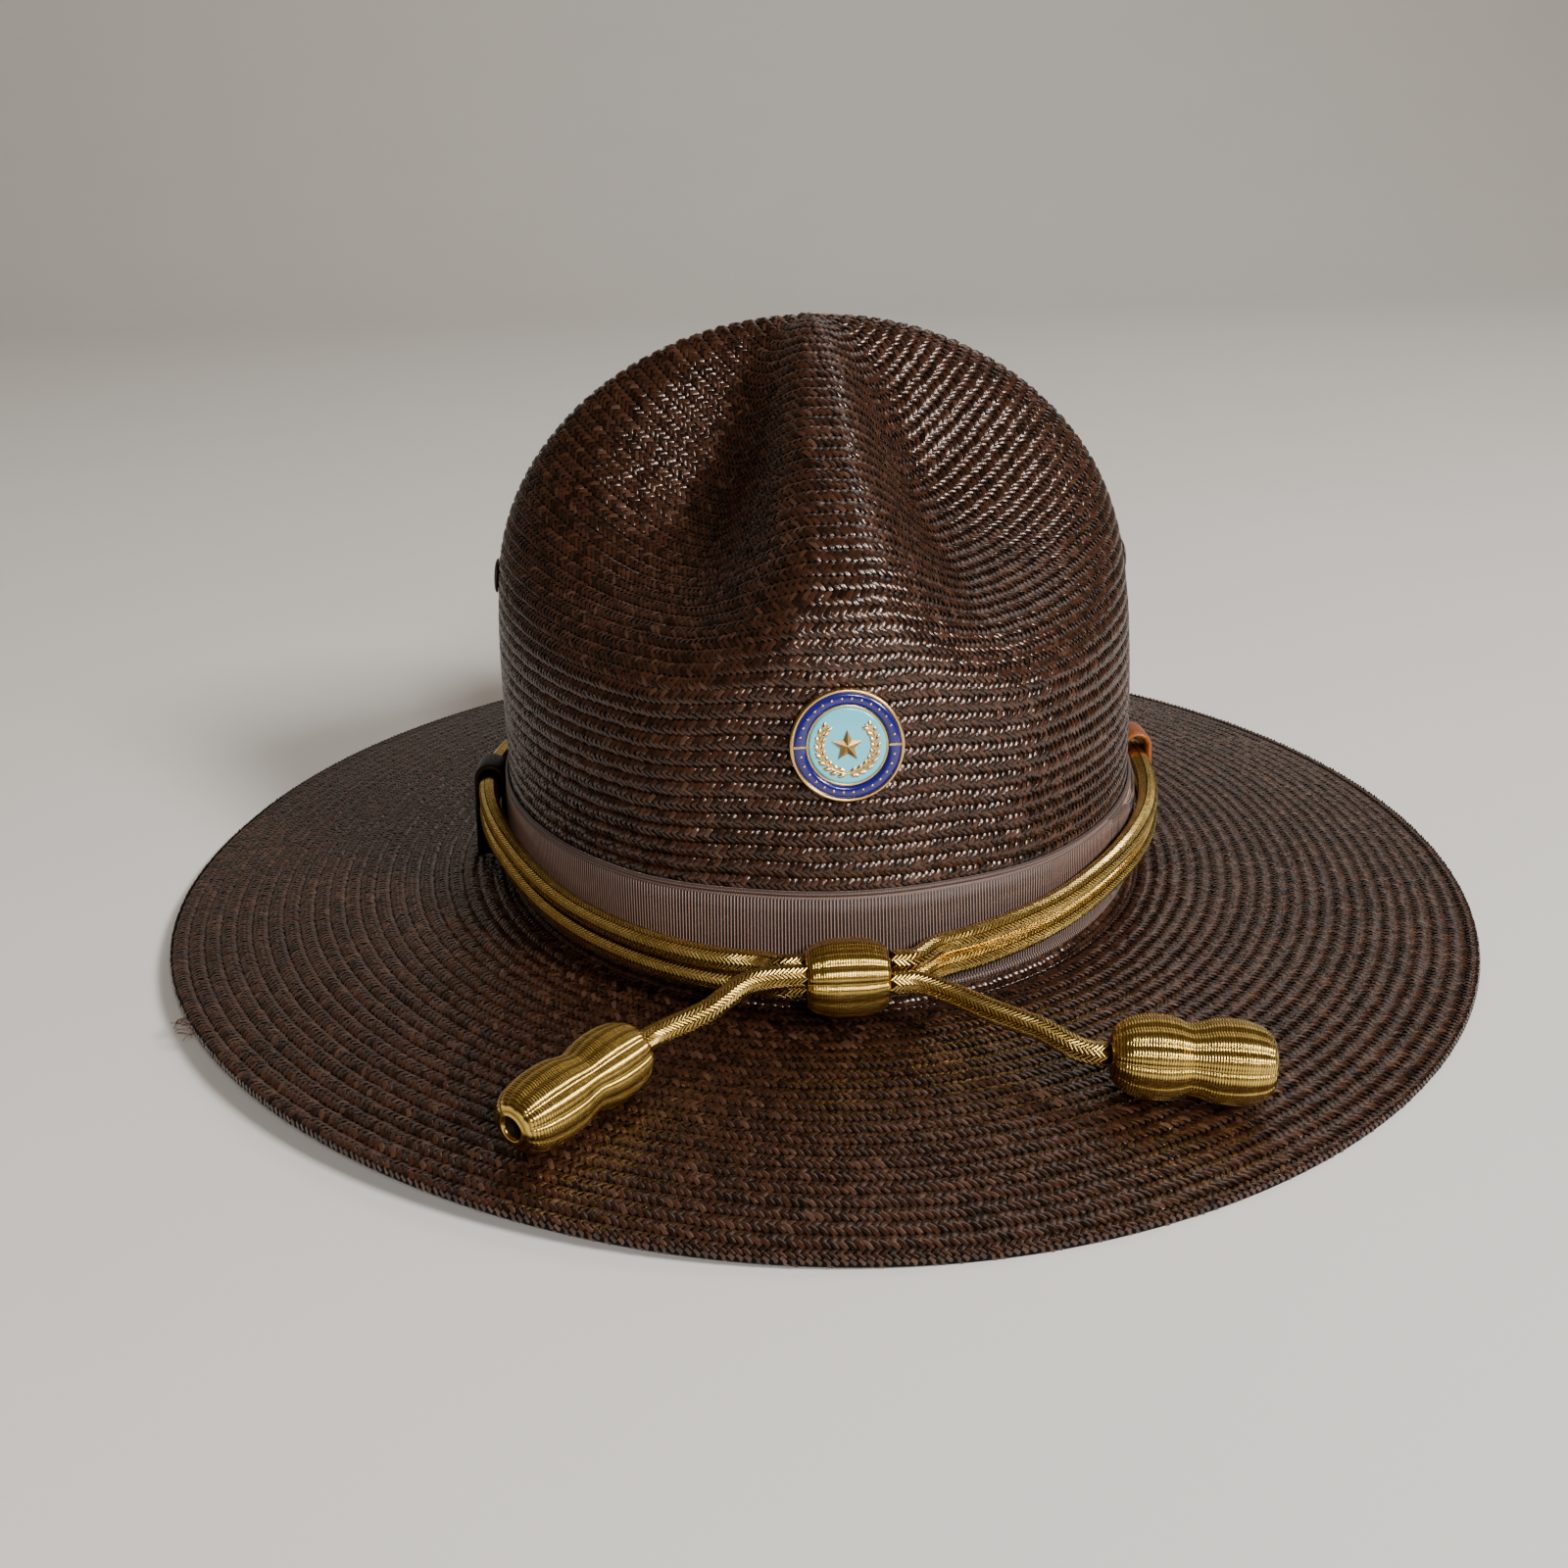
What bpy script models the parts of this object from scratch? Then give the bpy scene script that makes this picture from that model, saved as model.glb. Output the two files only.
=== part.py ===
"""Campaign hat: a stiff straw hat with a four-dent crown, ribbon band, gold cord and enamel badge.

Units are metres and +Z is up. The hat's front faces -Y and its wearer's left is +X.
Z = 0 is the surface that the brim's edge rests on. Heights in the dimensions below are counted
from the foot plane, which is the brim's top at the foot of the crown.
"""
import math
from functools import lru_cache

import bmesh
import bpy
import numpy as np
from mathutils import Matrix, Vector

# Straw shell
WALL = 0.0020
CROWN_HALF_WIDTH = 0.0835
CROWN_HALF_LENGTH = 0.1010
CROWN_HEIGHT = 0.1400
FOOT_FILLET = 0.0020
BRIM_HALF_WIDTH = 0.1700
BRIM_HALF_LENGTH = 0.1847
BRIM_DROOP = 0.0053
BRIM_LIFT = 0.0048
BRIM_LIFT_CENTRE = math.radians(-137.0)
BRIM_LIFT_SPAN = math.radians(58.0)
BRIM_FALL_POWER = 1.7
RIM_FLAT_WIDTH = 0.0030
FOOT_BEND_PULL = 0.6

# Gap between pieces that touch, and to the inside of the shell, whose facets lie off its curve
GAP = 0.0003
INSIDE_GAP = 0.0008

# Ribbon and bow
BAND_WIDTH = 0.0245
BAND_THICKNESS = 0.0006
BOW_FRONT = math.radians(-38.0)
BOW_BACK = math.radians(-9.0)
BOW_THICKNESS = 0.0010
BOW_HEIGHT = 0.0225
BOW_STEPS = 13

# Vent eyelets in the crown's sides
EYELET_HEIGHT = 0.0760
EYELET_DIAMETER = 0.0090
EYELET_FLANGE = 0.0008
EYELET_BORE_DIAMETER = 0.0040
EYELET_BARREL_WALL = 0.0010
EYELET_TOP_SHARE = 0.8
EYELET_SIDE_SHARE = 0.4
EYELET_SEAT_SHARE = 0.95
EYELET_ROLL_SHARE = 0.9

# Side straps: closed leather loops that pass through two slits in the brim
STRAP_WIDTH = 0.0106
STRAP_THICKNESS = 0.0016
STRAP_SPAN = 0.0070
STRAP_HEIGHT_LEFT = 0.0255
STRAP_HEIGHT_RIGHT = 0.0275
STRAP_ARCH_STEPS = 8
STRAP_CORNER = 0.2
STRAP_BAR_SHARES = (0.9, 0.5, 0.1)

# Enamel badge on the crown's front
BADGE_DIAMETER = 0.0247
BADGE_HEIGHT = 0.0594
BADGE_BASE = 0.0008
BADGE_DEPTH = 0.0020
BADGE_RIM = 0.0008
BADGE_CENTRE_DIAMETER = 0.0166
BADGE_CLOISON = 0.0006
ENAMEL_DEPTH = 0.0008
EMBLEM_DEPTH = 0.0007
STAR_RADIUS = 0.0036
STAR_WAIST = 0.0016
WREATH_RADIUS = 0.0060
WREATH_WIDTH = 0.0017
WREATH_START = math.radians(150.0)
WREATH_END = math.radians(390.0)
WREATH_LEAVES = 9
WREATH_OUTER_NOTCH = 0.15
WREATH_INNER_NOTCH = 0.30
STALK_SHARE = 0.25
BADGE_POST_DIAMETER = 0.0020
BADGE_CLUTCH_DIAMETER = 0.0100
BADGE_CLUTCH_DEPTH = 0.0015
BADGE_CLUTCH_TAPER = 0.9
BADGE_RIM_BEVEL = 0.3
BADGE_EDGE_SHARE = 0.8

# Gold cord, slide and acorns
CORD_DIAMETER = 0.0048
SLIDE_LENGTH = 0.0180
SLIDE_DIAMETER = 0.0169
SLIDE_CENTRE = (-0.0017, -0.1094, 0.0116)
LOBES = 12
LOBE_DEPTH = 0.06
ACORN_MOUTH_DIAMETER = 0.0045
ACORN_MOUTH_DEPTH = 0.0050
ACORN_MOUTH_TAPER = 0.8

# Number of facets
RING_POINTS = 60
RIDGE_CROWDING = 0.18
CROWN_RINGS = 18
CROWN_RING_CROWDING = 0.95
PROFILE_POINTS = 401
WALL_POINTS = 80
WALL_TOP = 0.35
WALL_REACH = 0.0040
BRIM_RINGS = 5
ROUND_POINTS = 32
LOBED_POINTS = 24
SMALL_POINTS = 16

# Crown profiles from the tip to the foot: share of the half size that the profile follows,
# share of the crown's height
RIDGE_PROFILE = (
    (0.000, 1.000), (0.097, 0.988), (0.187, 0.959), (0.361, 0.890), (0.532, 0.816), (0.698, 0.739),
    (0.778, 0.697), (0.846, 0.646), (0.885, 0.597), (0.907, 0.542), (0.921, 0.471), (1.000, 0.000),
)
DENT_PROFILE = (
    (0.000, 1.000), (0.099, 0.980), (0.183, 0.933), (0.278, 0.844), (0.396, 0.718), (0.575, 0.629),
    (0.731, 0.584), (0.849, 0.541), (0.922, 0.487), (0.951, 0.421), (1.000, 0.000),
)
SIDE_PROFILE = (
    (0.000, 1.000), (0.171, 0.992), (0.337, 0.970), (0.492, 0.933), (0.633, 0.883), (0.754, 0.821),
    (0.853, 0.750), (0.925, 0.671), (0.968, 0.587), (0.983, 0.500), (0.987, 0.200), (1.000, 0.000),
)

# Turn from the front or back at which a dent's profile is taken, and how the surface passes from
# the ridge into the dent and from the dent to the side
DENT_TURN = math.radians(42.0)
RIDGE_CREST_SHARE = 0.8
DENT_START_EASE = 0.9
DENT_END_EASE = 1.25
DENT_END_POWER = 1.6

# Spread of the four dents: share of the way down, then three turns in degrees from the front or
# back: edge of the ridge, start of the dent's floor, end of the dent's floor
DENT_SPREAD = (
    (0.00, 12.0, 46.0, 54.0), (0.20, 8.0, 47.0, 52.0), (0.30, 6.0, 46.0, 50.0),
    (0.40, 5.0, 41.0, 45.0), (0.52, 6.0, 34.0, 40.0), (0.56, 8.0, 33.0, 38.0),
    (0.60, 11.0, 33.0, 38.0), (0.65, 16.0, 35.0, 40.0), (1.00, 16.0, 36.0, 42.0),
)

# Bow, front end to back end: share along, share of the thickness, share of the height
BOW_STATIONS = (
    (0.00, 0.55, 0.94), (0.06, 0.95, 1.00), (0.22, 1.00, 0.97), (0.38, 0.80, 0.86),
    (0.46, 0.62, 0.70), (0.54, 0.62, 0.70), (0.62, 0.80, 0.86), (0.78, 1.00, 0.97),
    (0.94, 0.95, 1.00), (1.00, 0.55, 0.94),
)

# Outline of the slide: share of the length, share of the radius
SLIDE_PROFILE = (
    (0.00, 0.66), (0.04, 0.78), (0.16, 0.91), (0.34, 0.99), (0.50, 1.00), (0.66, 0.99),
    (0.84, 0.91), (0.96, 0.78), (1.00, 0.66),
)

# Outline of an acorn from the cord's end to the open mouth: share of the length, share of the radius
ACORN_PROFILE = (
    (0.00, 0.40), (0.03, 0.66), (0.10, 0.87), (0.22, 0.99), (0.32, 1.00), (0.41, 0.93),
    (0.48, 0.84), (0.53, 0.86), (0.62, 0.95), (0.74, 0.97), (0.88, 0.91), (0.97, 0.82), (1.00, 0.72),
)

# Acorns: name, end on the cord in plan, heading in degrees from +X, length, diameter
ACORNS = (
    ("acorn_left", (-0.0465, -0.1274), 229.6, 0.0358, 0.0156),
    ("acorn_right", (0.0486, -0.1386), -7.6, 0.0327, 0.0172),
)
# Shares of an acorn's length at which its two bulges rest on the brim
ACORN_RESTS = (0.30, 0.74)

# Upper strand of the cord from the slide's left end round the back to its right end. Turn in
# degrees from the front towards +X, gap to the band in mm, height of the cord's centre in mm
UPPER_STRAND = (
    (-12.0, 2.4, 12.6), (-18.0, 1.8, 12.3), (-25.0, 1.3, 12.5), (-32.0, 1.0, 13.0), (-40.0, 0.8, 13.7),
    (-49.0, 0.9, 15.0), (-57.0, 1.2, 17.0), (-65.0, 1.6, 19.0), (-75.0, 2.0, 20.0), (-90.0, 2.5, 20.1),
    (-105.0, 2.0, 19.6), (-122.0, 1.1, 17.8), (-140.0, 0.8, 15.4), (-160.0, 0.8, 13.4),
    (-180.0, 0.8, 12.6), (-200.0, 0.8, 13.4), (-220.0, 0.8, 15.2), (-238.0, 1.2, 17.5),
    (-255.0, 2.1, 19.4), (-270.0, 2.5, 20.0), (-285.0, 2.1, 20.4), (-300.0, 1.9, 20.2),
    (-310.0, 1.5, 19.2), (-318.0, 1.0, 17.9), (-326.0, 0.8, 16.6), (-334.0, 1.1, 15.8),
    (-342.0, 1.8, 15.1), (-348.0, 2.4, 14.6),
)
STRAND_POINTS = 34

# Where the strands and tails enter the slide: place on its end face behind and above the axis
UPPER_ENTRY = (0.0016, 0.0026)
LOWER_ENTRY = (0.0016, -0.0025)
LEFT_TAIL_ENTRY = (-0.0034, 0.0026)
RIGHT_TAIL_ENTRY = (-0.0038, 0.0000)

# Points of the tails between the slide and the acorns, in metres
LEFT_TAIL = ((-0.0227, -0.1133, 0.0136), (-0.0318, -0.1195, 0.0106))
RIGHT_TAIL = ((0.0193, -0.1172, 0.0108), (0.0272, -0.1244, 0.0100), (0.0353, -0.1306, 0.0092))
TAIL_POINTS = 9
STRAIGHT_ENTRY = 0.0050
ACORN_ENTRY = 0.0030
TAIL_LEAD = 0.0024

FOOT_Z = WALL + BRIM_DROOP
FRONT = -math.pi / 2
HOLE_DEPTH = 6.0 * WALL
SLIT_DEPTH = 4.0 * WALL


# Plain helpers

def clear_scene():
    """Remove whatever the scene holds."""
    for old in list(bpy.data.objects):
        bpy.data.objects.remove(old, do_unlink=True)


def finish(name, colour, roughness, metallic=0.0):
    """Return a plain Principled material."""
    material = bpy.data.materials.new(name)
    material.use_nodes = True
    shader = material.node_tree.nodes["Principled BSDF"]
    shader.inputs["Base Color"].default_value = (*colour, 1.0)
    shader.inputs["Roughness"].default_value = roughness
    shader.inputs["Metallic"].default_value = metallic
    return material


def solid_from_bmesh(name, bm, material):
    """Turn a bmesh into a named object with its faces outward and its round parts smooth."""
    bmesh.ops.recalc_face_normals(bm, faces=bm.faces)
    mesh = bpy.data.meshes.new(name)
    bm.to_mesh(mesh)
    bm.free()
    mesh.materials.append(material)
    mesh.shade_smooth()
    mesh.set_sharp_from_angle(angle=math.radians(40.0))
    solid = bpy.data.objects.new(name, mesh)
    bpy.context.scene.collection.objects.link(solid)
    return solid


def loft(rings, start_pole=None, end_pole=None, closed=False):
    """Bridge rings of points into a closed bmesh, ending in a pole, a flat cap or the first ring."""
    bm = bmesh.new()
    rows = [[bm.verts.new(point) for point in ring] for ring in rings]
    count = len(rows[0])
    pairs = list(zip(rows, rows[1:]))
    if closed:
        pairs.append((rows[-1], rows[0]))
    for lower, upper in pairs:
        for i in range(count):
            j = (i + 1) % count
            bm.faces.new((lower[i], lower[j], upper[j], upper[i]))
    if not closed:
        for row, pole in ((rows[0], start_pole), (rows[-1], end_pole)):
            if pole is None:
                bm.faces.new(row)
                continue
            tip = bm.verts.new(pole)
            for i in range(count):
                bm.faces.new((row[i], row[(i + 1) % count], tip))
    return bm


def cutter(name, bm, matrix):
    """Return a hidden solid that only cuts."""
    mesh = bpy.data.meshes.new(name)
    bmesh.ops.recalc_face_normals(bm, faces=bm.faces)
    bm.to_mesh(mesh)
    bm.free()
    tool = bpy.data.objects.new(name, mesh)
    tool.matrix_world = matrix
    tool.hide_render = True
    tool.display_type = "WIRE"
    bpy.context.scene.collection.objects.link(tool)
    return tool


def cut(solid, tool):
    """Subtract a cutter from a solid."""
    modifier = solid.modifiers.new(tool.name, "BOOLEAN")
    modifier.operation = "DIFFERENCE"
    modifier.solver = "EXACT"
    modifier.object = tool


def cylinder(radius, depth, segments=SMALL_POINTS):
    """Return a bmesh cylinder along Z, centred on its origin."""
    bm = bmesh.new()
    bmesh.ops.create_cone(bm, cap_ends=True, segments=segments, radius1=radius, radius2=radius, depth=depth)
    return bm


def box(size):
    """Return a bmesh box centred on its origin."""
    bm = bmesh.new()
    bmesh.ops.create_cube(bm, size=1.0, matrix=Matrix.Diagonal((*size, 1.0)))
    return bm


def lathe(profile, segments, lobe_depth=0.0):
    """Turn (along, radius) pairs about +X, with lengthwise lobes of the given depth share."""
    rings = []
    for along, radius in profile:
        ring = []
        for i in range(segments):
            angle = 2.0 * math.pi * i / segments
            lobed = radius * (1.0 - lobe_depth * 0.5 * (1.0 - math.cos(LOBES * angle)))
            ring.append((along, lobed * math.cos(angle), lobed * math.sin(angle)))
        rings.append(ring)
    return rings


# Crown and brim surface

def smoothstep(share):
    """Ease from 0 to 1."""
    share = np.clip(share, 0.0, 1.0)
    return share * share * (3.0 - 2.0 * share)


def smooth_curve(points, samples, lead=None):
    """Return samples of a smooth curve through points, evenly spaced along its length.

    With a lead, the second sample and the last but one lie that far from the ends.
    """
    points = np.asarray(points, float)
    chord = np.concatenate(([0.0], np.cumsum(np.linalg.norm(np.diff(points, axis=0), axis=1))))
    slopes = np.gradient(points, chord, axis=0)
    fine = np.linspace(0.0, chord[-1], 24 * len(points))
    cell = np.clip(np.searchsorted(chord, fine, side="right") - 1, 0, len(chord) - 2)
    width = (chord[cell + 1] - chord[cell])[:, None]
    t = (fine - chord[cell])[:, None] / width
    curve = (
        (2 * t**3 - 3 * t**2 + 1) * points[cell]
        + (t**3 - 2 * t**2 + t) * width * slopes[cell]
        + (3 * t**2 - 2 * t**3) * points[cell + 1]
        + (t**3 - t**2) * width * slopes[cell + 1]
    )
    arc = np.concatenate(([0.0], np.cumsum(np.linalg.norm(np.diff(curve, axis=0), axis=1))))
    stations = np.linspace(0.0, arc[-1], samples)
    if lead is not None:
        inner = np.linspace(lead, arc[-1] - lead, samples - 2)
        stations = np.concatenate(([0.0], inner, [arc[-1]]))
    return np.stack([np.interp(stations, arc, curve[:, k]) for k in range(points.shape[1])], axis=1)


def crown_profiles():
    """Return the ridge, dent and side profiles as (reach share, height) at even steps down."""
    dent_half = math.hypot(CROWN_HALF_WIDTH * math.sin(DENT_TURN), CROWN_HALF_LENGTH * math.cos(DENT_TURN))
    profiles = []
    for rows, half in (
        (RIDGE_PROFILE, CROWN_HALF_LENGTH), (DENT_PROFILE, dent_half), (SIDE_PROFILE, CROWN_HALF_WIDTH)
    ):
        curve = smooth_curve(np.array(rows) * (half, CROWN_HEIGHT), PROFILE_POINTS)
        profiles.append(curve / (half, 1.0))
    return profiles


PROFILES = crown_profiles()


def crown_point(angle, down):
    """Return the crown's outside at an angle from +X and a share of the way from tip to foot."""
    turn = math.degrees(math.asin(min(1.0, abs(math.cos(angle)))))
    spread = np.array(DENT_SPREAD)
    ridge_edge, floor_start, floor_end = (np.interp(down, spread[:, 0], spread[:, k]) for k in (1, 2, 3))
    if turn < floor_end:
        crest = RIDGE_CREST_SHARE * ridge_edge
        rise = np.clip((turn - crest) / (floor_start - crest), 0.0, 1.0)
        dent = float(smoothstep(rise**DENT_START_EASE))
        ridge, side = 1.0 - dent, 0.0
    else:
        fade = (turn - floor_end) / (90.0 - floor_end)
        dent = max(0.0, math.cos(math.pi / 2 * fade**DENT_END_EASE)) ** DENT_END_POWER
        ridge, side = 0.0, 1.0 - dent
    steps = np.linspace(0.0, 1.0, PROFILE_POINTS)
    reach, height = (
        sum(w * np.interp(down, steps, p[:, k]) for w, p in zip((ridge, dent, side), PROFILES))
        for k in (0, 1)
    )
    return Vector((
        CROWN_HALF_WIDTH * reach * math.cos(angle),
        CROWN_HALF_LENGTH * reach * math.sin(angle),
        FOOT_Z + height,
    ))


@lru_cache(maxsize=None)
def wall_column(angle):
    """Return heights above the foot plane up the crown's wall, lowest first, with their shares down."""
    downs = np.linspace(1.0, WALL_TOP, WALL_POINTS)
    return [crown_point(angle, down).z - FOOT_Z for down in downs], downs


def crown_at_height(angle, height):
    """Return the crown's outside point at a height above the foot plane, below the dents."""
    return crown_point(angle, float(np.interp(height, *wall_column(angle))))


def outward(angle):
    """Return the level direction square to the crown's foot at an angle."""
    return Vector((math.cos(angle) / CROWN_HALF_WIDTH, math.sin(angle) / CROWN_HALF_LENGTH, 0.0)).normalized()


def brim_point(angle, share):
    """Return the brim's top at an angle and a share of the way from the foot fillet to the rim."""
    foot = Vector((CROWN_HALF_WIDTH * math.cos(angle), CROWN_HALF_LENGTH * math.sin(angle), 0.0))
    inner = foot + outward(angle) * FOOT_FILLET
    edge = Vector((BRIM_HALF_WIDTH * math.cos(angle), BRIM_HALF_LENGTH * math.sin(angle), 0.0))
    place = inner.lerp(edge, share)
    flat_share = RIM_FLAT_WIDTH / (edge - inner).length
    fall = min(1.0, share / (1.0 - flat_share)) ** BRIM_FALL_POWER
    away = abs((angle - BRIM_LIFT_CENTRE + math.pi) % (2.0 * math.pi) - math.pi)
    lift = 0.5 * (1.0 + math.cos(math.pi * min(1.0, away / BRIM_LIFT_SPAN)))
    place.z = FOOT_Z - (BRIM_DROOP - BRIM_LIFT * lift) * fall
    return place


def brim_height(x, y):
    """Return the height of the brim's top under a point, found by halving the way to the rim."""
    inner, outer = 0.0, 1.0
    for _ in range(20):
        share = 0.5 * (inner + outer)
        half_width = (1.0 - share) * (CROWN_HALF_WIDTH + FOOT_FILLET) + share * BRIM_HALF_WIDTH
        half_length = (1.0 - share) * (CROWN_HALF_LENGTH + FOOT_FILLET) + share * BRIM_HALF_LENGTH
        if math.hypot(x / half_width, y / half_length) > 1.0:
            inner = share
        else:
            outer = share
    return brim_point(math.atan2(y / half_length, x / half_width), share).z


def ring_angles():
    """Return the angles of the shell's rings, closer together at the front and back ridges."""
    even = [2.0 * math.pi * i / RING_POINTS for i in range(RING_POINTS)]
    return [angle + RIDGE_CROWDING * math.sin(2.0 * angle) for angle in even]


def shell_grid():
    """Return the outside of crown and brim as an array of rings of points."""
    angles = ring_angles()
    rings = []
    foot_down = [float(np.interp(FOOT_FILLET, *wall_column(angle))) for angle in angles]
    for ring in range(1, CROWN_RINGS + 1):
        share = (ring / CROWN_RINGS) ** CROWN_RING_CROWDING
        rings.append([crown_point(angle, share * down) for angle, down in zip(angles, foot_down)])
    bend = []
    for angle, wall_foot in zip(angles, rings[-1]):
        brim_start = brim_point(angle, 0.0)
        corner = Vector((wall_foot.x, wall_foot.y, brim_start.z))
        bend.append(corner.lerp(wall_foot.lerp(brim_start, 0.5), FOOT_BEND_PULL))
    rings.append(bend)
    flat_start = 1.0 - RIM_FLAT_WIDTH / (BRIM_HALF_LENGTH - CROWN_HALF_LENGTH - FOOT_FILLET)
    shares = [flat_start * ring / BRIM_RINGS for ring in range(BRIM_RINGS + 1)] + [1.0]
    for share in shares:
        rings.append([brim_point(angle, share) for angle in angles])
    return np.array([[tuple(point) for point in ring] for ring in rings])


def inside_of(grid):
    """Return the grid moved inward by the wall, square to its surface."""
    around = np.roll(grid, -1, axis=1) - np.roll(grid, 1, axis=1)
    tip = np.repeat(np.array([[0.0, 0.0, FOOT_Z + CROWN_HEIGHT]]), grid.shape[1], axis=0)[None]
    above = np.concatenate((tip, grid[:-1]))
    below = np.concatenate((grid[1:], grid[-1:]))
    normal = np.cross(below - above, around)
    normal /= np.linalg.norm(normal, axis=2, keepdims=True)
    normal[-2:] = (0.0, 0.0, 1.0)
    inside = grid - WALL * normal
    inside[-2:, :, 2] = grid[-2:, :, 2] - WALL
    return inside


def straw_body(material):
    """Crown and brim as one sewn shell, hollow from below."""
    outside = shell_grid()
    inside = inside_of(outside)
    rings = [list(map(tuple, ring)) for ring in outside] + [list(map(tuple, ring)) for ring in inside[::-1]]
    tip = (0.0, 0.0, FOOT_Z + CROWN_HEIGHT)
    under_tip = (0.0, 0.0, FOOT_Z + CROWN_HEIGHT - WALL)
    return solid_from_bmesh("straw_body", loft(rings, tip, under_tip), material)


# Ribbon

def band_surface(angle, height, gap):
    """Return a point a gap away from the crown's wall."""
    return crown_at_height(angle, height) + outward(angle) * gap


def hat_band(material):
    """Ribbon round the crown's foot."""
    low, high = FOOT_FILLET + GAP, FOOT_FILLET + GAP + BAND_WIDTH
    angles = ring_angles()
    section = ((low, GAP), (low, GAP + BAND_THICKNESS), (high, GAP + BAND_THICKNESS), (high, GAP))
    rings = [[band_surface(angle, height, gap) for angle in angles] for height, gap in section]
    return solid_from_bmesh("hat_band", loft(rings, closed=True), material)


def band_bow(material):
    """Flat ribbon bow that lies on the band at the hat's left side."""
    base = 2.0 * GAP + BAND_THICKNESS
    middle = FOOT_FILLET + GAP + 0.5 * BAND_WIDTH
    table = np.array(BOW_STATIONS)
    shares = sorted(set(np.round(np.concatenate((table[:, 0], np.linspace(0.0, 1.0, BOW_STEPS))), 3)))
    rings = []
    for share in shares:
        angle = BOW_FRONT + (BOW_BACK - BOW_FRONT) * share
        thick = BOW_THICKNESS * np.interp(share, table[:, 0], table[:, 1])
        half = 0.5 * BOW_HEIGHT * np.interp(share, table[:, 0], table[:, 2])
        corners = ((-half, 0.0), (-half, thick), (half, thick), (half, 0.0))
        rings.append([band_surface(angle, middle + rise, base + out) for rise, out in corners])
    return solid_from_bmesh("band_bow", loft(rings), material)


# Vent eyelets

def wall_frame(angle, height, stand_off):
    """Return a matrix on the crown's outside whose +X points out of the wall and +Z up along it."""
    here = crown_at_height(angle, height)
    above = crown_at_height(angle, height + WALL_REACH)
    below = crown_at_height(angle, height - WALL_REACH)
    up = (above - below).normalized()
    side = Vector((0.0, 0.0, 1.0)).cross(outward(angle)).normalized()
    out = side.cross(up).normalized()
    axes = Matrix((out, side, up)).transposed().to_4x4()
    return Matrix.Translation(here) @ axes @ Matrix.Translation((stand_off, 0.0, 0.0))


def along_x():
    """Return the turn that lays a Z cylinder along X."""
    return Matrix.Rotation(math.pi / 2, 4, "Y")


def eyelet(name, angle, body, material):
    """Metal eyelet through the crown's wall: a flange outside, a barrel and a rolled flange inside."""
    bore = 0.5 * EYELET_BORE_DIAMETER
    barrel = bore + EYELET_BARREL_WALL
    flange = 0.5 * EYELET_DIAMETER
    outer, inner = GAP, -WALL - INSIDE_GAP
    profile = (
        (outer + EYELET_FLANGE, bore), (outer + EYELET_FLANGE, EYELET_TOP_SHARE * flange),
        (outer + EYELET_SIDE_SHARE * EYELET_FLANGE, flange), (outer, EYELET_SEAT_SHARE * flange),
        (outer, barrel), (inner, barrel), (inner, EYELET_ROLL_SHARE * flange),
        (inner - EYELET_FLANGE, EYELET_TOP_SHARE * flange), (inner - EYELET_FLANGE, bore),
    )
    frame = wall_frame(angle, EYELET_HEIGHT, 0.0)
    solid = solid_from_bmesh(name, loft(lathe(profile, SMALL_POINTS), closed=True), material)
    solid.matrix_world = frame
    hole = cylinder(barrel + GAP, HOLE_DEPTH)
    cut(body, cutter(name + "_hole", hole, frame @ along_x()))
    return solid


# Side straps

def strap_loop(name, side, height, body, material):
    """Leather loop: two legs, a round top over the cord and a plain bar under the brim."""
    half = 0.5 * STRAP_THICKNESS
    angle = 0.0 if side > 0 else math.pi
    low = FOOT_FILLET + GAP
    foot = abs(band_surface(angle, low, 2.0 * GAP + BAND_THICKNESS).x) + half
    top = abs(band_surface(angle, low + BAND_WIDTH, 2.0 * GAP + BAND_THICKNESS).x) + half
    lean = (top - foot) / BAND_WIDTH
    radius = 0.5 * STRAP_SPAN
    under = -WALL - GAP - half
    crest = height - half - radius

    def leg(rise):
        return foot + lean * (rise - low)

    corner = under + STRAP_CORNER * radius
    path = [(leg(0.0), corner), (leg(0.0), 0.0), (leg(low), low), (leg(crest), crest)]
    for step in range(1, STRAP_ARCH_STEPS):
        swing = math.pi * (1.0 - step / STRAP_ARCH_STEPS)
        path.append((leg(crest) + radius * (1.0 + math.cos(swing)), crest + radius * math.sin(swing)))
    path += [(leg(rise) + STRAP_SPAN, rise) for rise in (crest, low, 0.0)]
    path += [(leg(0.0) + STRAP_SPAN, corner)]
    path += [(leg(0.0) + STRAP_SPAN * share, under - STRAP_CORNER * half) for share in STRAP_BAR_SHARES]
    path = np.array(path)
    ahead = np.roll(path, -1, axis=0) - np.roll(path, 1, axis=0)
    normal = np.stack((-ahead[:, 1], ahead[:, 0]), axis=1) / np.linalg.norm(ahead, axis=1)[:, None]
    rings = []
    for line, y in ((1, -0.5), (1, 0.5), (-1, 0.5), (-1, -0.5)):
        points = path + normal * half * line
        rings.append([(side * x, y * STRAP_WIDTH, FOOT_Z + z) for x, z in points])
    solid = solid_from_bmesh(name, loft(rings, closed=True), material)
    slit = (STRAP_THICKNESS + 2.0 * GAP, STRAP_WIDTH + 2.0 * GAP, SLIT_DEPTH)
    for label, x in (("inner", leg(0.0)), ("outer", leg(0.0) + STRAP_SPAN)):
        place = Matrix.Translation((side * x, 0.0, FOOT_Z - 0.5 * WALL))
        cut(body, cutter(f"{name}_{label}_slit", box(slit), place))
    return solid


# Badge

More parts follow.
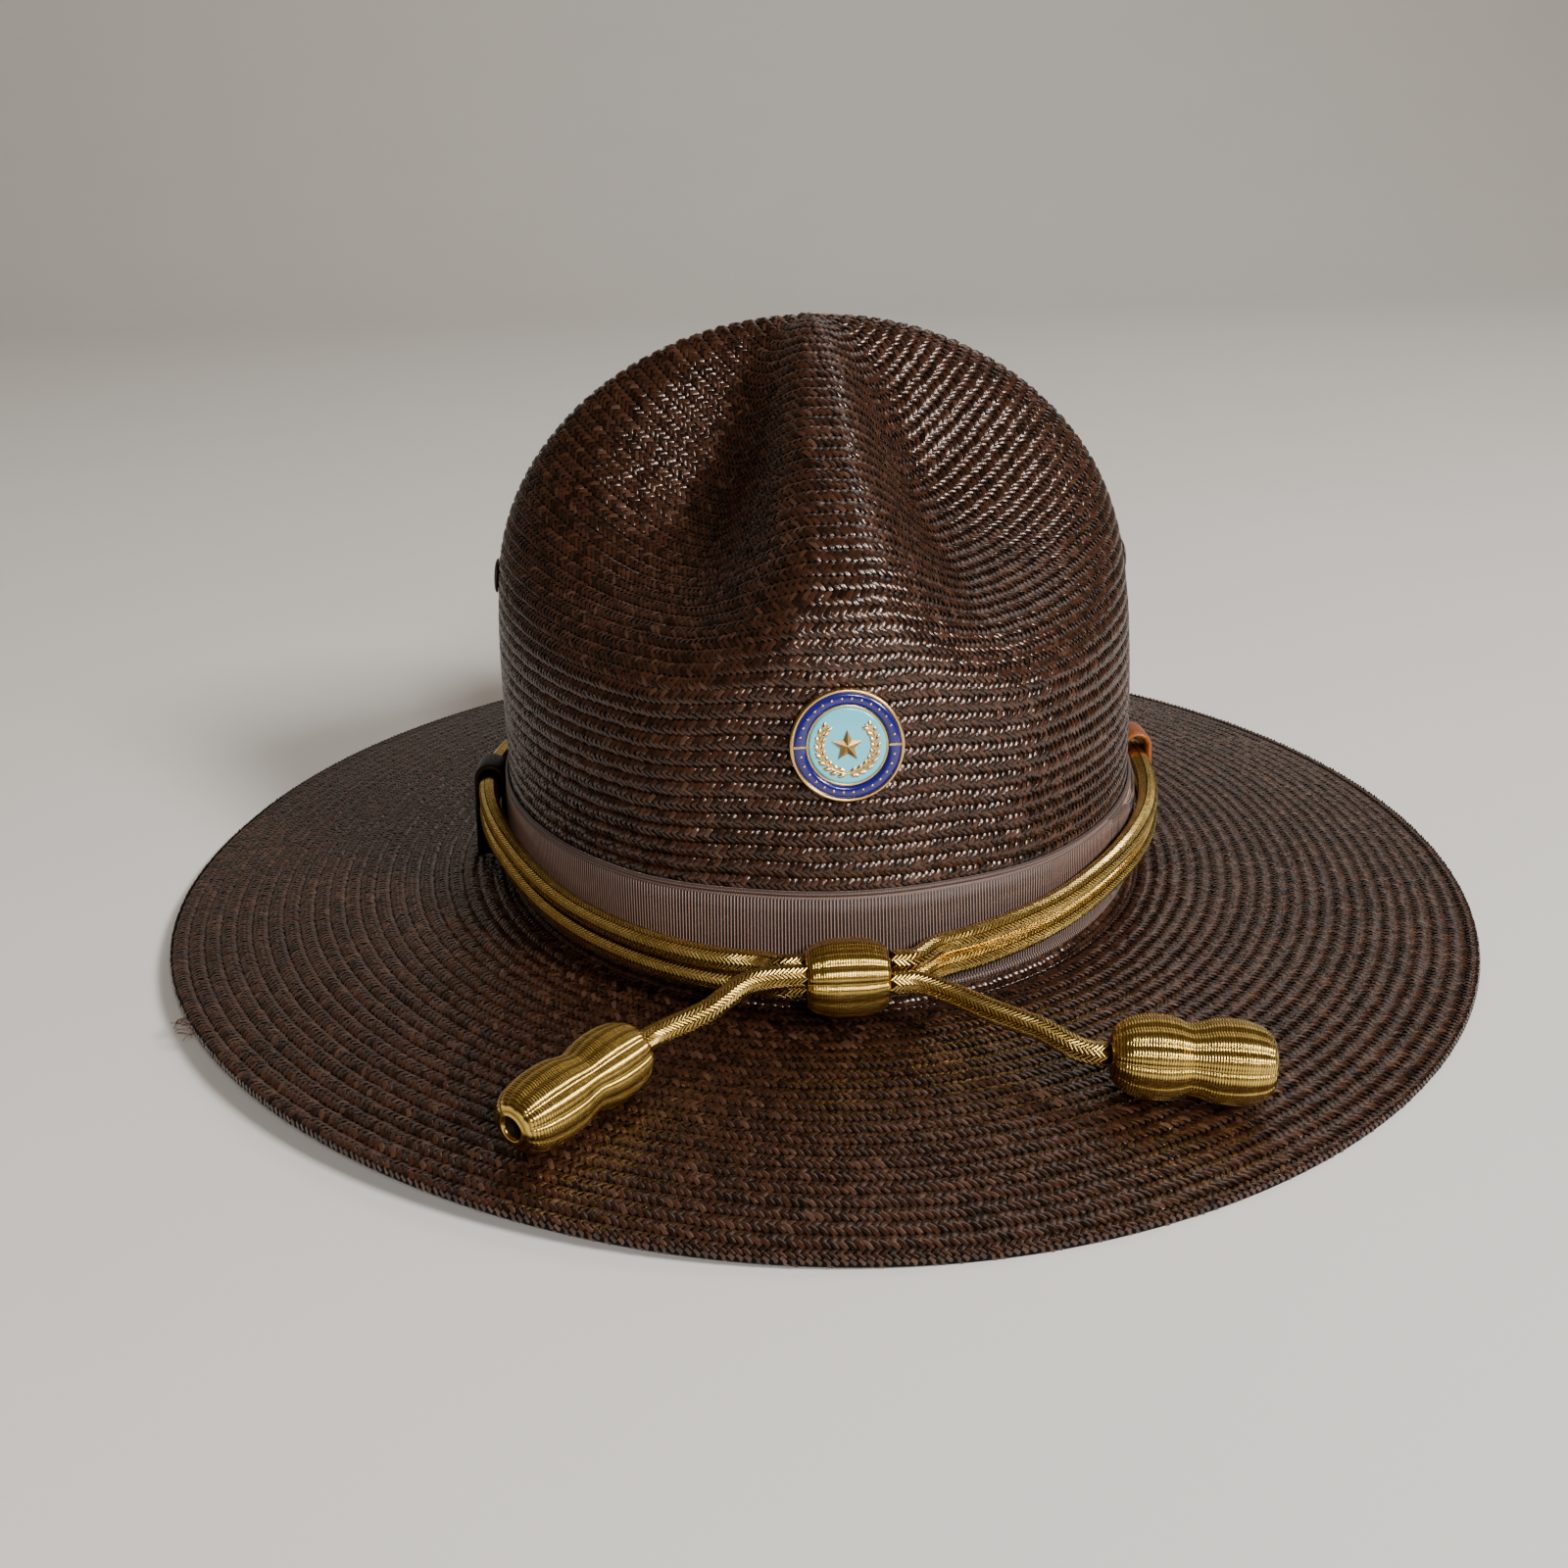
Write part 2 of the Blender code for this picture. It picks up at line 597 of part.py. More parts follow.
def badge_frame():
    """Return the badge's matrix: +X out of the crown's front, +Z up along it."""
    return wall_frame(FRONT, BADGE_HEIGHT, GAP)


def badge_back(body, material):
    """Gold plate with a rim and one raised ring between the enamels, on a post with a clutch."""
    rim = 0.5 * BADGE_DIAMETER
    ring = 0.5 * BADGE_CENTRE_DIAMETER + BADGE_CLOISON
    post = 0.5 * BADGE_POST_DIAMETER
    clutch = 0.5 * BADGE_CLUTCH_DIAMETER
    inner = -GAP - WALL - INSIDE_GAP
    profile = (
        (BADGE_BASE, ring - BADGE_CLOISON), (BADGE_DEPTH, ring - BADGE_CLOISON), (BADGE_DEPTH, ring),
        (BADGE_BASE, ring), (BADGE_BASE, rim - BADGE_RIM), (BADGE_DEPTH, rim - BADGE_RIM),
        (BADGE_DEPTH, rim - BADGE_RIM_BEVEL * BADGE_RIM), (BADGE_EDGE_SHARE * BADGE_DEPTH, rim),
        (0.0, rim), (0.0, post), (inner, post), (inner, clutch),
        (inner - BADGE_CLUTCH_DEPTH, BADGE_CLUTCH_TAPER * clutch),
    )
    rings = lathe(profile, ROUND_POINTS)
    frame = badge_frame()
    solid = solid_from_bmesh("badge_back", loft(rings), material)
    solid.matrix_world = frame
    hole = cylinder(post + GAP, HOLE_DEPTH)
    cut(body, cutter("badge_post_hole", hole, frame @ along_x()))
    return solid


def badge_ring(material):
    """Ring of enamel between the badge's rim and its inner ring."""
    outer = 0.5 * BADGE_DIAMETER - BADGE_RIM - GAP
    inner = 0.5 * BADGE_CENTRE_DIAMETER + BADGE_CLOISON + GAP
    low, high = BADGE_BASE + GAP, BADGE_BASE + GAP + ENAMEL_DEPTH
    rings = lathe(((low, inner), (high, inner), (high, outer), (low, outer)), ROUND_POINTS)
    solid = solid_from_bmesh("badge_ring", loft(rings, closed=True), material)
    solid.matrix_world = badge_frame()
    return solid


def badge_centre(material):
    """Disc of enamel in the badge's middle."""
    radius = 0.5 * BADGE_CENTRE_DIAMETER - GAP
    low, high = BADGE_BASE + GAP, BADGE_BASE + GAP + ENAMEL_DEPTH
    rings = lathe(((low, radius), (high, radius)), ROUND_POINTS)
    solid = solid_from_bmesh("badge_centre", loft(rings), material)
    solid.matrix_world = badge_frame()
    return solid


def wreath_point(step, side, notch):
    """Return a point on the wreath's outer (+1) or inner (-1) edge, with a notch between leaves."""
    angle = WREATH_START + (WREATH_END - WREATH_START) * step / (2 * WREATH_LEAVES)
    radius = WREATH_RADIUS + side * (0.5 if step % 2 else notch) * WREATH_WIDTH
    return (radius * math.cos(angle), radius * math.sin(angle))


def star_point(step):
    """Return a tip (even step) or a waist (odd step) of the star, counted from its top."""
    radius = STAR_WAIST if step % 2 else STAR_RADIUS
    angle = math.radians(90.0 - 36.0 * step)
    return (-radius * math.cos(angle), radius * math.sin(angle))


def emblem_outline():
    """Return the outline of a five-pointed star that stands in an open wreath of leaves."""
    steps = 2 * WREATH_LEAVES
    foot = WREATH_INNER_NOTCH * WREATH_WIDTH - WREATH_RADIUS
    stalk = STALK_SHARE * STAR_RADIUS
    outline = [wreath_point(step, 1, WREATH_OUTER_NOTCH) for step in range(steps + 1)]
    outline += [wreath_point(step, -1, WREATH_INNER_NOTCH) for step in range(steps, WREATH_LEAVES, -1)]
    outline.append((stalk, foot))
    outline += [star_point(step) for step in range(-4, 5)]
    outline.append((-stalk, foot))
    outline += [wreath_point(step, -1, WREATH_INNER_NOTCH) for step in range(WREATH_LEAVES - 1, -1, -1)]
    return outline


def badge_emblem(material):
    """Gold star and wreath on the middle disc."""
    low = BADGE_BASE + 2.0 * GAP + ENAMEL_DEPTH
    bm = bmesh.new()
    face = bm.faces.new([bm.verts.new((low, x, z)) for x, z in emblem_outline()])
    raised = bmesh.ops.extrude_face_region(bm, geom=[face])
    moved = [item for item in raised["geom"] if isinstance(item, bmesh.types.BMVert)]
    bmesh.ops.translate(bm, verts=moved, vec=(EMBLEM_DEPTH, 0.0, 0.0))
    bmesh.ops.triangulate(bm, faces=bm.faces)
    solid = solid_from_bmesh("badge_emblem", bm, material)
    solid.matrix_world = badge_frame()
    return solid


# Cord

def cord(name, points, material):
    """Round cord as a curve through points, with closed ends."""
    data = bpy.data.curves.new(name, "CURVE")
    data.dimensions = "3D"
    data.bevel_depth = 0.5 * CORD_DIAMETER
    data.bevel_resolution = 2
    data.use_fill_caps = True
    spline = data.splines.new("POLY")
    spline.points.add(len(points) - 1)
    for slot, point in zip(spline.points, points):
        slot.co = (*point, 1.0)
    data.materials.append(material)
    line = bpy.data.objects.new(name, data)
    bpy.context.scene.collection.objects.link(line)
    return line


def slide_end(side, entry):
    """Return where a cord meets the slide's left (-1) or right (+1) end face."""
    x, y, z = SLIDE_CENTRE
    return Vector((x + side * (0.5 * SLIDE_LENGTH + GAP), y + entry[0], FOOT_Z + z + entry[1]))


def strand_route(entry, drop):
    """Return the points of one strand from the slide's left end round the crown to its right end."""
    straight = Vector((STRAIGHT_ENTRY, 0.0, 0.0))
    route = [slide_end(-1, entry), slide_end(-1, entry) - straight]
    for turn, gap, height in UPPER_STRAND:
        angle = FRONT + math.radians(turn)
        level = height / 1000.0 - drop
        away = BAND_THICKNESS + GAP + gap / 1000.0 + 0.5 * CORD_DIAMETER
        place = crown_at_height(angle, level) + outward(angle) * away
        route.append(Vector((place.x, place.y, FOOT_Z + level)))
    route += [slide_end(1, entry) + straight, slide_end(1, entry)]
    return smooth_curve([tuple(point) for point in route], STRAND_POINTS, 0.7 * STRAIGHT_ENTRY)


def strands(material):
    """The cord's two turns round the crown, one above the other."""
    drop = CORD_DIAMETER + GAP
    cord("cord_ring_upper", strand_route(UPPER_ENTRY, 0.0), material)
    cord("cord_ring_lower", strand_route(LOWER_ENTRY, drop), material)


def tails(material):
    """The cord's two ends, from the slide to the acorns."""
    for name, side, entry, middle, acorn in (
        ("cord_tail_left", -1, LEFT_TAIL_ENTRY, LEFT_TAIL, ACORNS[0]),
        ("cord_tail_right", 1, RIGHT_TAIL_ENTRY, RIGHT_TAIL, ACORNS[1]),
    ):
        start = slide_end(side, entry)
        first = start + Vector((side * STRAIGHT_ENTRY, 0.0, 0.0))
        last = acorn_frame(acorn) @ Vector((-GAP - ACORN_ENTRY, 0.0, 0.0))
        end = acorn_frame(acorn) @ Vector((-GAP, 0.0, 0.0))
        inner = [(x, y, FOOT_Z + z) for x, y, z in middle]
        route = [tuple(start), tuple(first), *inner, tuple(last), tuple(end)]
        cord(name, smooth_curve(route, TAIL_POINTS, TAIL_LEAD), material)


def cord_slide(material):
    """Thread-wound barrel that the four cord ends go into."""
    radius = 0.5 * SLIDE_DIAMETER
    profile = [(SLIDE_LENGTH * (along - 0.5), radius * share) for along, share in SLIDE_PROFILE]
    solid = solid_from_bmesh("cord_slide", loft(lathe(profile, LOBED_POINTS, LOBE_DEPTH)), material)
    solid.location = (SLIDE_CENTRE[0], SLIDE_CENTRE[1], FOOT_Z + SLIDE_CENTRE[2])
    return solid


def acorn_frame(acorn):
    """Return an acorn's matrix: its origin at the cord's end and +X along it, its bulges on the brim."""
    _, (x, y), heading, length, diameter = acorn
    start = Vector((x, y, 0.0))
    level = Vector((math.cos(math.radians(heading)), math.sin(math.radians(heading)), 0.0))
    rests = [start + level * length * share for share in ACORN_RESTS]
    for rest in rests:
        rest.z = brim_height(rest.x, rest.y) + GAP + 0.5 * diameter
    along = (rests[1] - rests[0]).normalized()
    side = Vector((0.0, 0.0, 1.0)).cross(along).normalized()
    axes = Matrix((along, side, along.cross(side))).transposed().to_4x4()
    return Matrix.Translation(rests[0] - along * length * ACORN_RESTS[0]) @ axes


def acorn_solid(acorn, material):
    """Thread-wound acorn: two bulges with a waist, and an open mouth at the free end."""
    name, _, _, length, diameter = acorn
    radius = 0.5 * diameter
    mouth = 0.5 * ACORN_MOUTH_DIAMETER
    outer = [(length * along, radius * share) for along, share in ACORN_PROFILE]
    rings = lathe(outer, LOBED_POINTS, LOBE_DEPTH)
    rings += lathe(((length, mouth), (length - ACORN_MOUTH_DEPTH, ACORN_MOUTH_TAPER * mouth)), LOBED_POINTS)
    solid = solid_from_bmesh(name, loft(rings), material)
    solid.matrix_world = acorn_frame(acorn)
    return solid


def main():
    """Build the hat."""
    clear_scene()
    straw = finish("straw", (0.045, 0.022, 0.014), 0.45)
    ribbon = finish("ribbon", (0.060, 0.034, 0.026), 0.75)
    eyelet_brown = finish("eyelet_enamel", (0.030, 0.018, 0.014), 0.40)
    leather = finish("leather", (0.190, 0.060, 0.012), 0.45)
    gold_plate = finish("gold_plate", (0.830, 0.560, 0.200), 0.25, 1.0)
    navy_enamel = finish("navy_enamel", (0.020, 0.022, 0.120), 0.15)
    blue_enamel = finish("blue_enamel", (0.420, 0.680, 0.760), 0.15)
    gold_thread = finish("gold_thread", (0.720, 0.500, 0.160), 0.30, 1.0)

    body = straw_body(straw)
    hat_band(ribbon)
    band_bow(ribbon)
    eyelet("eyelet_left", math.pi, body, eyelet_brown)
    eyelet("eyelet_right", 0.0, body, eyelet_brown)
    strap_loop("strap_loop_left", -1, STRAP_HEIGHT_LEFT, body, leather)
    strap_loop("strap_loop_right", 1, STRAP_HEIGHT_RIGHT, body, leather)
    badge_back(body, gold_plate)
    badge_ring(navy_enamel)
    badge_centre(blue_enamel)
    badge_emblem(gold_plate)
    strands(gold_thread)
    tails(gold_thread)
    cord_slide(gold_thread)
    for acorn in ACORNS:
        acorn_solid(acorn, gold_thread)


main()
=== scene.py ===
"""Looks of the campaign hat: plaited straw, ribbed ribbon, plaited gold cord and enamel badge.

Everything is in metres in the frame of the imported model: +Z up, the hat's front at -Y, the wearer's
left at +X, and Z = 0 the surface that the brim's edge rests on.
"""
from __future__ import annotations

import logging
import math
from dataclasses import dataclass, field
from enum import Enum
from functools import cached_property

import bmesh
import bpy
import numpy as np
from mathutils import Matrix, Vector

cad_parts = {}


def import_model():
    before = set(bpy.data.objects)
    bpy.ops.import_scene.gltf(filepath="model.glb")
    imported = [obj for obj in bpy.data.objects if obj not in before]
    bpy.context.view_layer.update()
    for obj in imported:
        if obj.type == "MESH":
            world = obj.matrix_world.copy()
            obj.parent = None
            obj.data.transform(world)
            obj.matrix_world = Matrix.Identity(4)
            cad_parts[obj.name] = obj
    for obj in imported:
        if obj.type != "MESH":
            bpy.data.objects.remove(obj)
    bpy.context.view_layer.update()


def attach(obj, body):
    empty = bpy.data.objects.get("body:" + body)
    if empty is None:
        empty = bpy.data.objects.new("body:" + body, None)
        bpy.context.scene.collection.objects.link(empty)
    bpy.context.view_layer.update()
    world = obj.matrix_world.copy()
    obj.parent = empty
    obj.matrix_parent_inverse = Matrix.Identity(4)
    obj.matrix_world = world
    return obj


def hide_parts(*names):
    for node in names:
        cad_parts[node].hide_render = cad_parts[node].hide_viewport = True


Array = np.ndarray
Material = bpy.types.Material
Node = bpy.types.Node
Piece = bpy.types.Object
Socket = bpy.types.NodeSocket
LOG = logging.getLogger("campaign_hat")

FRONT = -math.pi / 2
UP = np.array((0.0, 0.0, 1.0))
LEVEL = 1.0 - UP

# Crown profiles from the tip to the foot, as in the part: share of the half size, share of the height
RIDGE_PROFILE = (
    (0.000, 1.000), (0.097, 0.988), (0.187, 0.959), (0.361, 0.890), (0.532, 0.816), (0.698, 0.739),
    (0.778, 0.697), (0.846, 0.646), (0.885, 0.597), (0.907, 0.542), (0.921, 0.471), (1.000, 0.000),
)
DENT_PROFILE = (
    (0.000, 1.000), (0.099, 0.980), (0.183, 0.933), (0.278, 0.844), (0.396, 0.718), (0.575, 0.629),
    (0.731, 0.584), (0.849, 0.541), (0.922, 0.487), (0.951, 0.421), (1.000, 0.000),
)
SIDE_PROFILE = (
    (0.000, 1.000), (0.171, 0.992), (0.337, 0.970), (0.492, 0.933), (0.633, 0.883), (0.754, 0.821),
    (0.853, 0.750), (0.925, 0.671), (0.968, 0.587), (0.983, 0.500), (0.987, 0.200), (1.000, 0.000),
)
# Share of the way down, then three turns in degrees: ridge's edge, dent floor's start and end
DENT_SPREAD = (
    (0.00, 12.0, 46.0, 54.0), (0.20, 8.0, 47.0, 52.0), (0.30, 6.0, 46.0, 50.0),
    (0.40, 5.0, 41.0, 45.0), (0.52, 6.0, 34.0, 40.0), (0.56, 8.0, 33.0, 38.0),
    (0.60, 11.0, 33.0, 38.0), (0.65, 16.0, 35.0, 40.0), (1.00, 16.0, 36.0, 42.0),
)
# Upper strand of the cord: turn in degrees from the front, gap to the band in mm, height in mm
UPPER_STRAND = (
    (-12.0, 2.4, 12.6), (-18.0, 1.8, 12.3), (-25.0, 1.3, 12.5), (-32.0, 1.0, 13.0), (-40.0, 0.8, 13.7),
    (-49.0, 0.9, 15.0), (-57.0, 1.2, 17.0), (-65.0, 1.6, 19.0), (-75.0, 2.0, 20.0), (-90.0, 2.5, 20.1),
    (-105.0, 2.0, 19.6), (-122.0, 1.1, 17.8), (-140.0, 0.8, 15.4), (-160.0, 0.8, 13.4),
    (-180.0, 0.8, 12.6), (-200.0, 0.8, 13.4), (-220.0, 0.8, 15.2), (-238.0, 1.2, 17.5),
    (-255.0, 2.1, 19.4), (-270.0, 2.5, 20.0), (-285.0, 2.1, 20.4), (-300.0, 1.9, 20.2),
    (-310.0, 1.5, 19.2), (-318.0, 1.0, 17.9), (-326.0, 0.8, 16.6), (-334.0, 1.1, 15.8),
    (-342.0, 1.8, 15.1), (-348.0, 2.4, 14.6),
)
# Outline of the slide: share of the length, share of the radius
SLIDE_PROFILE = (
    (0.00, 0.66), (0.04, 0.78), (0.16, 0.91), (0.34, 0.99), (0.50, 1.00), (0.66, 0.99),
    (0.84, 0.91), (0.96, 0.78), (1.00, 0.66),
)
# Outline of an acorn from the cord's end to the open mouth
ACORN_PROFILE = (
    (0.00, 0.40), (0.03, 0.66), (0.10, 0.87), (0.22, 0.99), (0.32, 1.00), (0.41, 0.93),
    (0.48, 0.84), (0.53, 0.87), (0.62, 0.97), (0.74, 1.00), (0.86, 0.94), (0.94, 0.82),
    (0.985, 0.64), (1.00, 0.46),
)
# Section of the ribbon: share of the width, share of the thickness, 1 on a border line
BAND_SECTION = (
    (0.0, 0.0, 0), (0.0, 0.6, 1), (0.012, 0.9, 1), (0.030, 0.9, 1), (0.045, 0.15, 0), (0.060, 0.9, 0),
    (0.20, 1.0, 0), (0.40, 1.0, 0), (0.60, 1.0, 0), (0.80, 1.0, 0), (0.925, 0.9, 0), (0.940, 0.15, 0),
    (0.955, 0.15, 1), (0.970, 0.9, 1), (0.988, 1.0, 1), (1.0, 0.6, 1), (1.0, 0.0, 0),
)
# Sheets of the bow: name, angles from its front and back ends, distance from the wall, share of the
# height, pinch in the middle
BOW_LAYERS = (
    ("bow_tail", 0.015, -0.015, 0.00090, 0.98, 0.0),
    ("bow_loop", 0.030, -0.045, 0.00125, 0.94, 1.0),
    ("bow_loop_top", 0.075, -0.090, 0.00160, 0.90, 1.0),
)
# Section of the bow's wrap: share of the bow's half height, distance from the wall
WRAP_SECTION = (
    (-0.80, 0.0006), (-0.80, 0.0013), (-0.74, 0.0017), (-0.4, 0.0019), (0.0, 0.00195),
    (0.4, 0.0019), (0.74, 0.0017), (0.80, 0.0013), (0.80, 0.0006),
)
# Section of a strap: share of half the thickness, share of half the width
STRAP_SECTION = (
    (-1.0, -0.72), (-1.0, 0.72), (-0.8, 0.90), (-0.35, 1.0), (0.0, 0.96), (0.35, 1.0), (0.8, 0.90),
    (1.0, 0.72), (1.0, -0.72), (0.8, -0.90), (0.35, -1.0), (-0.35, -1.0), (-0.8, -0.90),
)
# Height of a winding of thread at each quarter of it, also its painted shade: 0 paints the valley between
# windings dark
WINDING = np.array((0.0, 0.62, 1.0, 0.62))
# Lights: name, place, width and height, watts, colour
LIGHTS = (
    ("window_right", (1.20, -1.15, 1.20), (0.45, 0.45), 46.0, (1.0, 0.97, 0.93)),
    ("front_high", (0.38, -1.76, 1.00), (0.32, 0.24), 18.0, (1.0, 0.97, 0.94)),
    ("back_soft", (0.9, 1.2, 1.9), (1.4, 1.0), 7.5, (1.0, 0.98, 0.96)),
)


class Lean(Enum):
    """Half of a braid row: share across it, a straw's reach along in mm and across, width in mm, tilt."""

    UPPER = (0.29, 1.15, -0.50, 1.24, -0.20)
    LOWER = (0.74, 1.70, 0.44, 1.04, 0.20)


class Side(Enum):
    """A side of the hat, as the photo shows it: the left is at -X."""

    LEFT = -1
    RIGHT = 1

    @property
    def label(self) -> str:
        """Return the side's word in the names of pieces and nodes."""
        return self.name.lower()

    @property
    def angle(self) -> float:
        """Return the side's angle from +X."""
        return 0.0 if self is Side.RIGHT else math.pi


# Shared helpers


def smoothstep(share: Array) -> Array:
    """Return values eased from 0 to 1, with those outside taken as 0 or 1."""
    share = np.clip(share, 0.0, 1.0)
    return share * share * (3.0 - 2.0 * share)


def unit(vectors: Array) -> Array:
    """Return vectors scaled to length 1, and zero vectors turned into +Z."""
    length = np.linalg.norm(vectors, axis=-1, keepdims=True)
    return np.where(length > 1e-12, vectors / np.maximum(length, 1e-12), UP)


def circle(count: int) -> Array:
    """Return angles spread evenly over a full turn."""
    return np.linspace(0.0, 2.0 * math.pi, count, endpoint=False)


def arc_lengths(points: Array) -> Array:
    """Return the distance along a line of points up to each of them."""
    return np.concatenate(([0.0], np.cumsum(np.linalg.norm(np.diff(points, axis=0), axis=1))))


def sample(stations: Array, arc: Array, values: Array) -> Array:
    """Return values, one a row, at stations along an arc."""
    return np.stack([np.interp(stations, arc, column) for column in values.T], axis=1)


def smooth_curve(points: Array, samples: int, lead: float | None = None) -> Array:
    """Sample a smooth curve through points evenly along its length.

    Args:
        points: Route points, one a row.
        samples: Number of samples.
        lead: Distance of the second and the last but one sample from the ends.

    Returns:
        The samples, one a row.
    """
    points = np.asarray(points, float)
    chord = arc_lengths(points)
    slopes = np.gradient(points, chord, axis=0)
    fine = np.linspace(0.0, chord[-1], 24 * len(points))
    cell = np.clip(np.searchsorted(chord, fine, side="right") - 1, 0, len(chord) - 2)
    width = (chord[cell + 1] - chord[cell])[:, None]
    t = (fine - chord[cell])[:, None] / width
    curve = (
        (2 * t**3 - 3 * t**2 + 1) * points[cell]
        + (t**3 - 2 * t**2 + t) * width * slopes[cell]
        + (3 * t**2 - 2 * t**3) * points[cell + 1]
        + (t**3 - t**2) * width * slopes[cell + 1]
    )
    arc = arc_lengths(curve)
    stations = np.linspace(0.0, arc[-1], samples)
    if lead is not None:
        stations = np.concatenate(([0.0], np.linspace(lead, arc[-1] - lead, samples - 2), [arc[-1]]))
    return sample(stations, arc, curve)


def show(name: str, data: bpy.types.ID) -> Piece:
    """Put a mesh, a light or a camera into the scene.

    Args:
        name: Name of the new object.
        data: What it shows.

    Returns:
        The object, at the origin.
    """
    piece = bpy.data.objects.new(name, data)
    bpy.context.scene.collection.objects.link(piece)
    return piece


def make_piece(
    name: str,
    points: Array,
    faces: list[tuple[int, ...]],
    finishes: list[Material],
    uvs: Array | None = None,
    slots: Array | None = None,
    outward: bool = True,
) -> Piece:
    """Make a mesh piece at the origin.

    Args:
        name: Piece name.
        points: Vertex places, one a row.
        faces: Corner numbers of each face.
        finishes: Materials in slot order.
        uvs: One (u, v) for each face corner.
        slots: Material slot of each face.
        outward: Whether the faces are turned outward here.

    Returns:
        The new object.
    """
    mesh = bpy.data.meshes.new(name)
    mesh.from_pydata(np.asarray(points).reshape(-1, 3).tolist(), [], faces)
    if uvs is not None:
        layer = mesh.uv_layers.new(name="UVMap")
        layer.data.foreach_set("uv", np.asarray(uvs, np.float32).ravel())
    if slots is not None:
        mesh.polygons.foreach_set("material_index", np.asarray(slots, np.int32))
    bm = bmesh.new()
    bm.from_mesh(mesh)
    bmesh.ops.remove_doubles(bm, verts=bm.verts, dist=1e-6)
    bmesh.ops.dissolve_degenerate(bm, dist=1e-7, edges=bm.edges)
    if outward:
        bmesh.ops.recalc_face_normals(bm, faces=bm.faces)
    bm.to_mesh(mesh)
    bm.free()
    for finish in finishes:
        mesh.materials.append(finish)
    mesh.shade_smooth()
    return show(name, mesh)


def between(upper: int, lower: int, columns: int, ring: bool = True) -> list:
    """List the faces between two rows of points.

    Args:
        upper: Number of the first row's first point.
        lower: Number of the second row's first point.
        columns: Points in a row.
        ring: Whether each row closes on itself.

    Returns:
        Four corner numbers a face.
    """
    pairs = [(i, (i + 1) % columns) for i in range(columns if ring else columns - 1)]
    return [(upper + i, lower + i, lower + j, upper + j) for i, j in pairs]


def strip_faces(rows: int, columns: int, ring: bool = True, loop: bool = False) -> list:
    """List the faces between rows of points.

    Args:
        rows: Number of rows.
        columns: Points in a row.
        ring: Whether each row closes on itself.
        loop: Whether the last row joins the first.

    Returns:
        Four corner numbers a face.
    """
    faces = []
    for row in range(rows if loop else rows - 1):
        faces += between(row * columns, (row + 1) % rows * columns, columns, ring)
    return faces


def closed_tube(rings: Array) -> tuple[Array, list]:
    """Close off a row of rings.

    Args:
        rings: Points as rings, places in a ring and coordinates.

    Returns:
        Points and faces, of which the last two cover the ends.
    """
    count, columns = rings.shape[:2]
    last = (count - 1) * columns
    ends = [tuple(range(columns)), tuple(last + i for i in reversed(range(columns)))]
    return rings.reshape(-1, 3), strip_faces(count, columns) + ends


def closed_sheet(name: str, top: Array, under: Array, uv: tuple, finish: Material) -> Piece:
    """Make a thin closed sheet.

    Args:
        name: Piece name.
        top: Points of its outer side, as rows and columns.
        under: Points of its inner side.
        uv: Two arrays that spread over the rows of both sides and the columns.
        finish: Material.

    Returns:
        The piece.
    """
    points = np.concatenate((top, under[::-1]))
    count, columns = points.shape[:2]
    faces = strip_faces(count, columns, ring=False, loop=True)
    for column in (0, columns - 1):
        edge = [row * columns + column for row in range(count)]
        for k in range(len(top) - 1):
            faces.append((edge[k], edge[k + 1], edge[count - 2 - k], edge[count - 1 - k]))
    corners = [corner for face in faces for corner in face]
    uvs = np.stack(np.broadcast_arrays(*uv), axis=-1).reshape(-1, 2)[corners]
    return make_piece(name, points, faces, [finish], uvs)


def turned(profile: list[tuple[float, float]], segments: int, frame: Matrix, loop: bool = False) -> tuple:
    """Turn (along, radius) pairs about +X of a frame.

    Args:
        profile: Pairs from end to end. A radius of 0 makes a pole.
        segments: Points round.
        frame: Matrix from the turned shape to the world.
        loop: Whether the profile closes on itself.

    Returns:
        Points and faces.
    """
    angles = circle(segments)
    along, radius = np.array(profile).T[..., None]
    points = np.stack((along + 0.0 * angles, radius * np.cos(angles), radius * np.sin(angles)), axis=2)
    return to_world(points, frame), strip_faces(len(profile), segments, loop=loop)


def to_world(points: Array, frame: Matrix) -> Array:
    """Move points by a matrix."""
    matrix = np.array(frame)
    return np.asarray(points) @ matrix[:3, :3].T + matrix[:3, 3]


def join(name: str, pieces: list[Piece]) -> Piece:
    """Join pieces into one.

    Args:
        name: Name of the joined piece.
        pieces: Pieces, of which the first keeps its place and the materials of all are kept.

    Returns:
        The joined piece.
    """
    with bpy.context.temp_override(active_object=pieces[0], selected_editable_objects=pieces):
        bpy.ops.object.join()
    pieces[0].name = pieces[0].data.name = name
    return pieces[0]


def set_tone(piece: Piece, values: Array) -> None:
    """Give each vertex a number from 0 to 1, which the finishes read as its shade."""
    data = piece.data.attributes.new("tone", "FLOAT", "POINT").data
    data.foreach_set("value", np.asarray(values, np.float32))


def dress(piece: Piece, slot: str, *nodes: str) -> None:
    """Ride a piece on the hat's one body and report it.

    Args:
        piece: The piece.
        slot: Its material slot; not used.
        *nodes: CAD nodes that it stands for.
    """
    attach(piece, "root")
    if nodes:
        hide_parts(*nodes)
    piece.data.calc_loop_triangles()
    LOG.info("%s: %d triangles", piece.name, len(piece.data.loop_triangles))


# Finishes


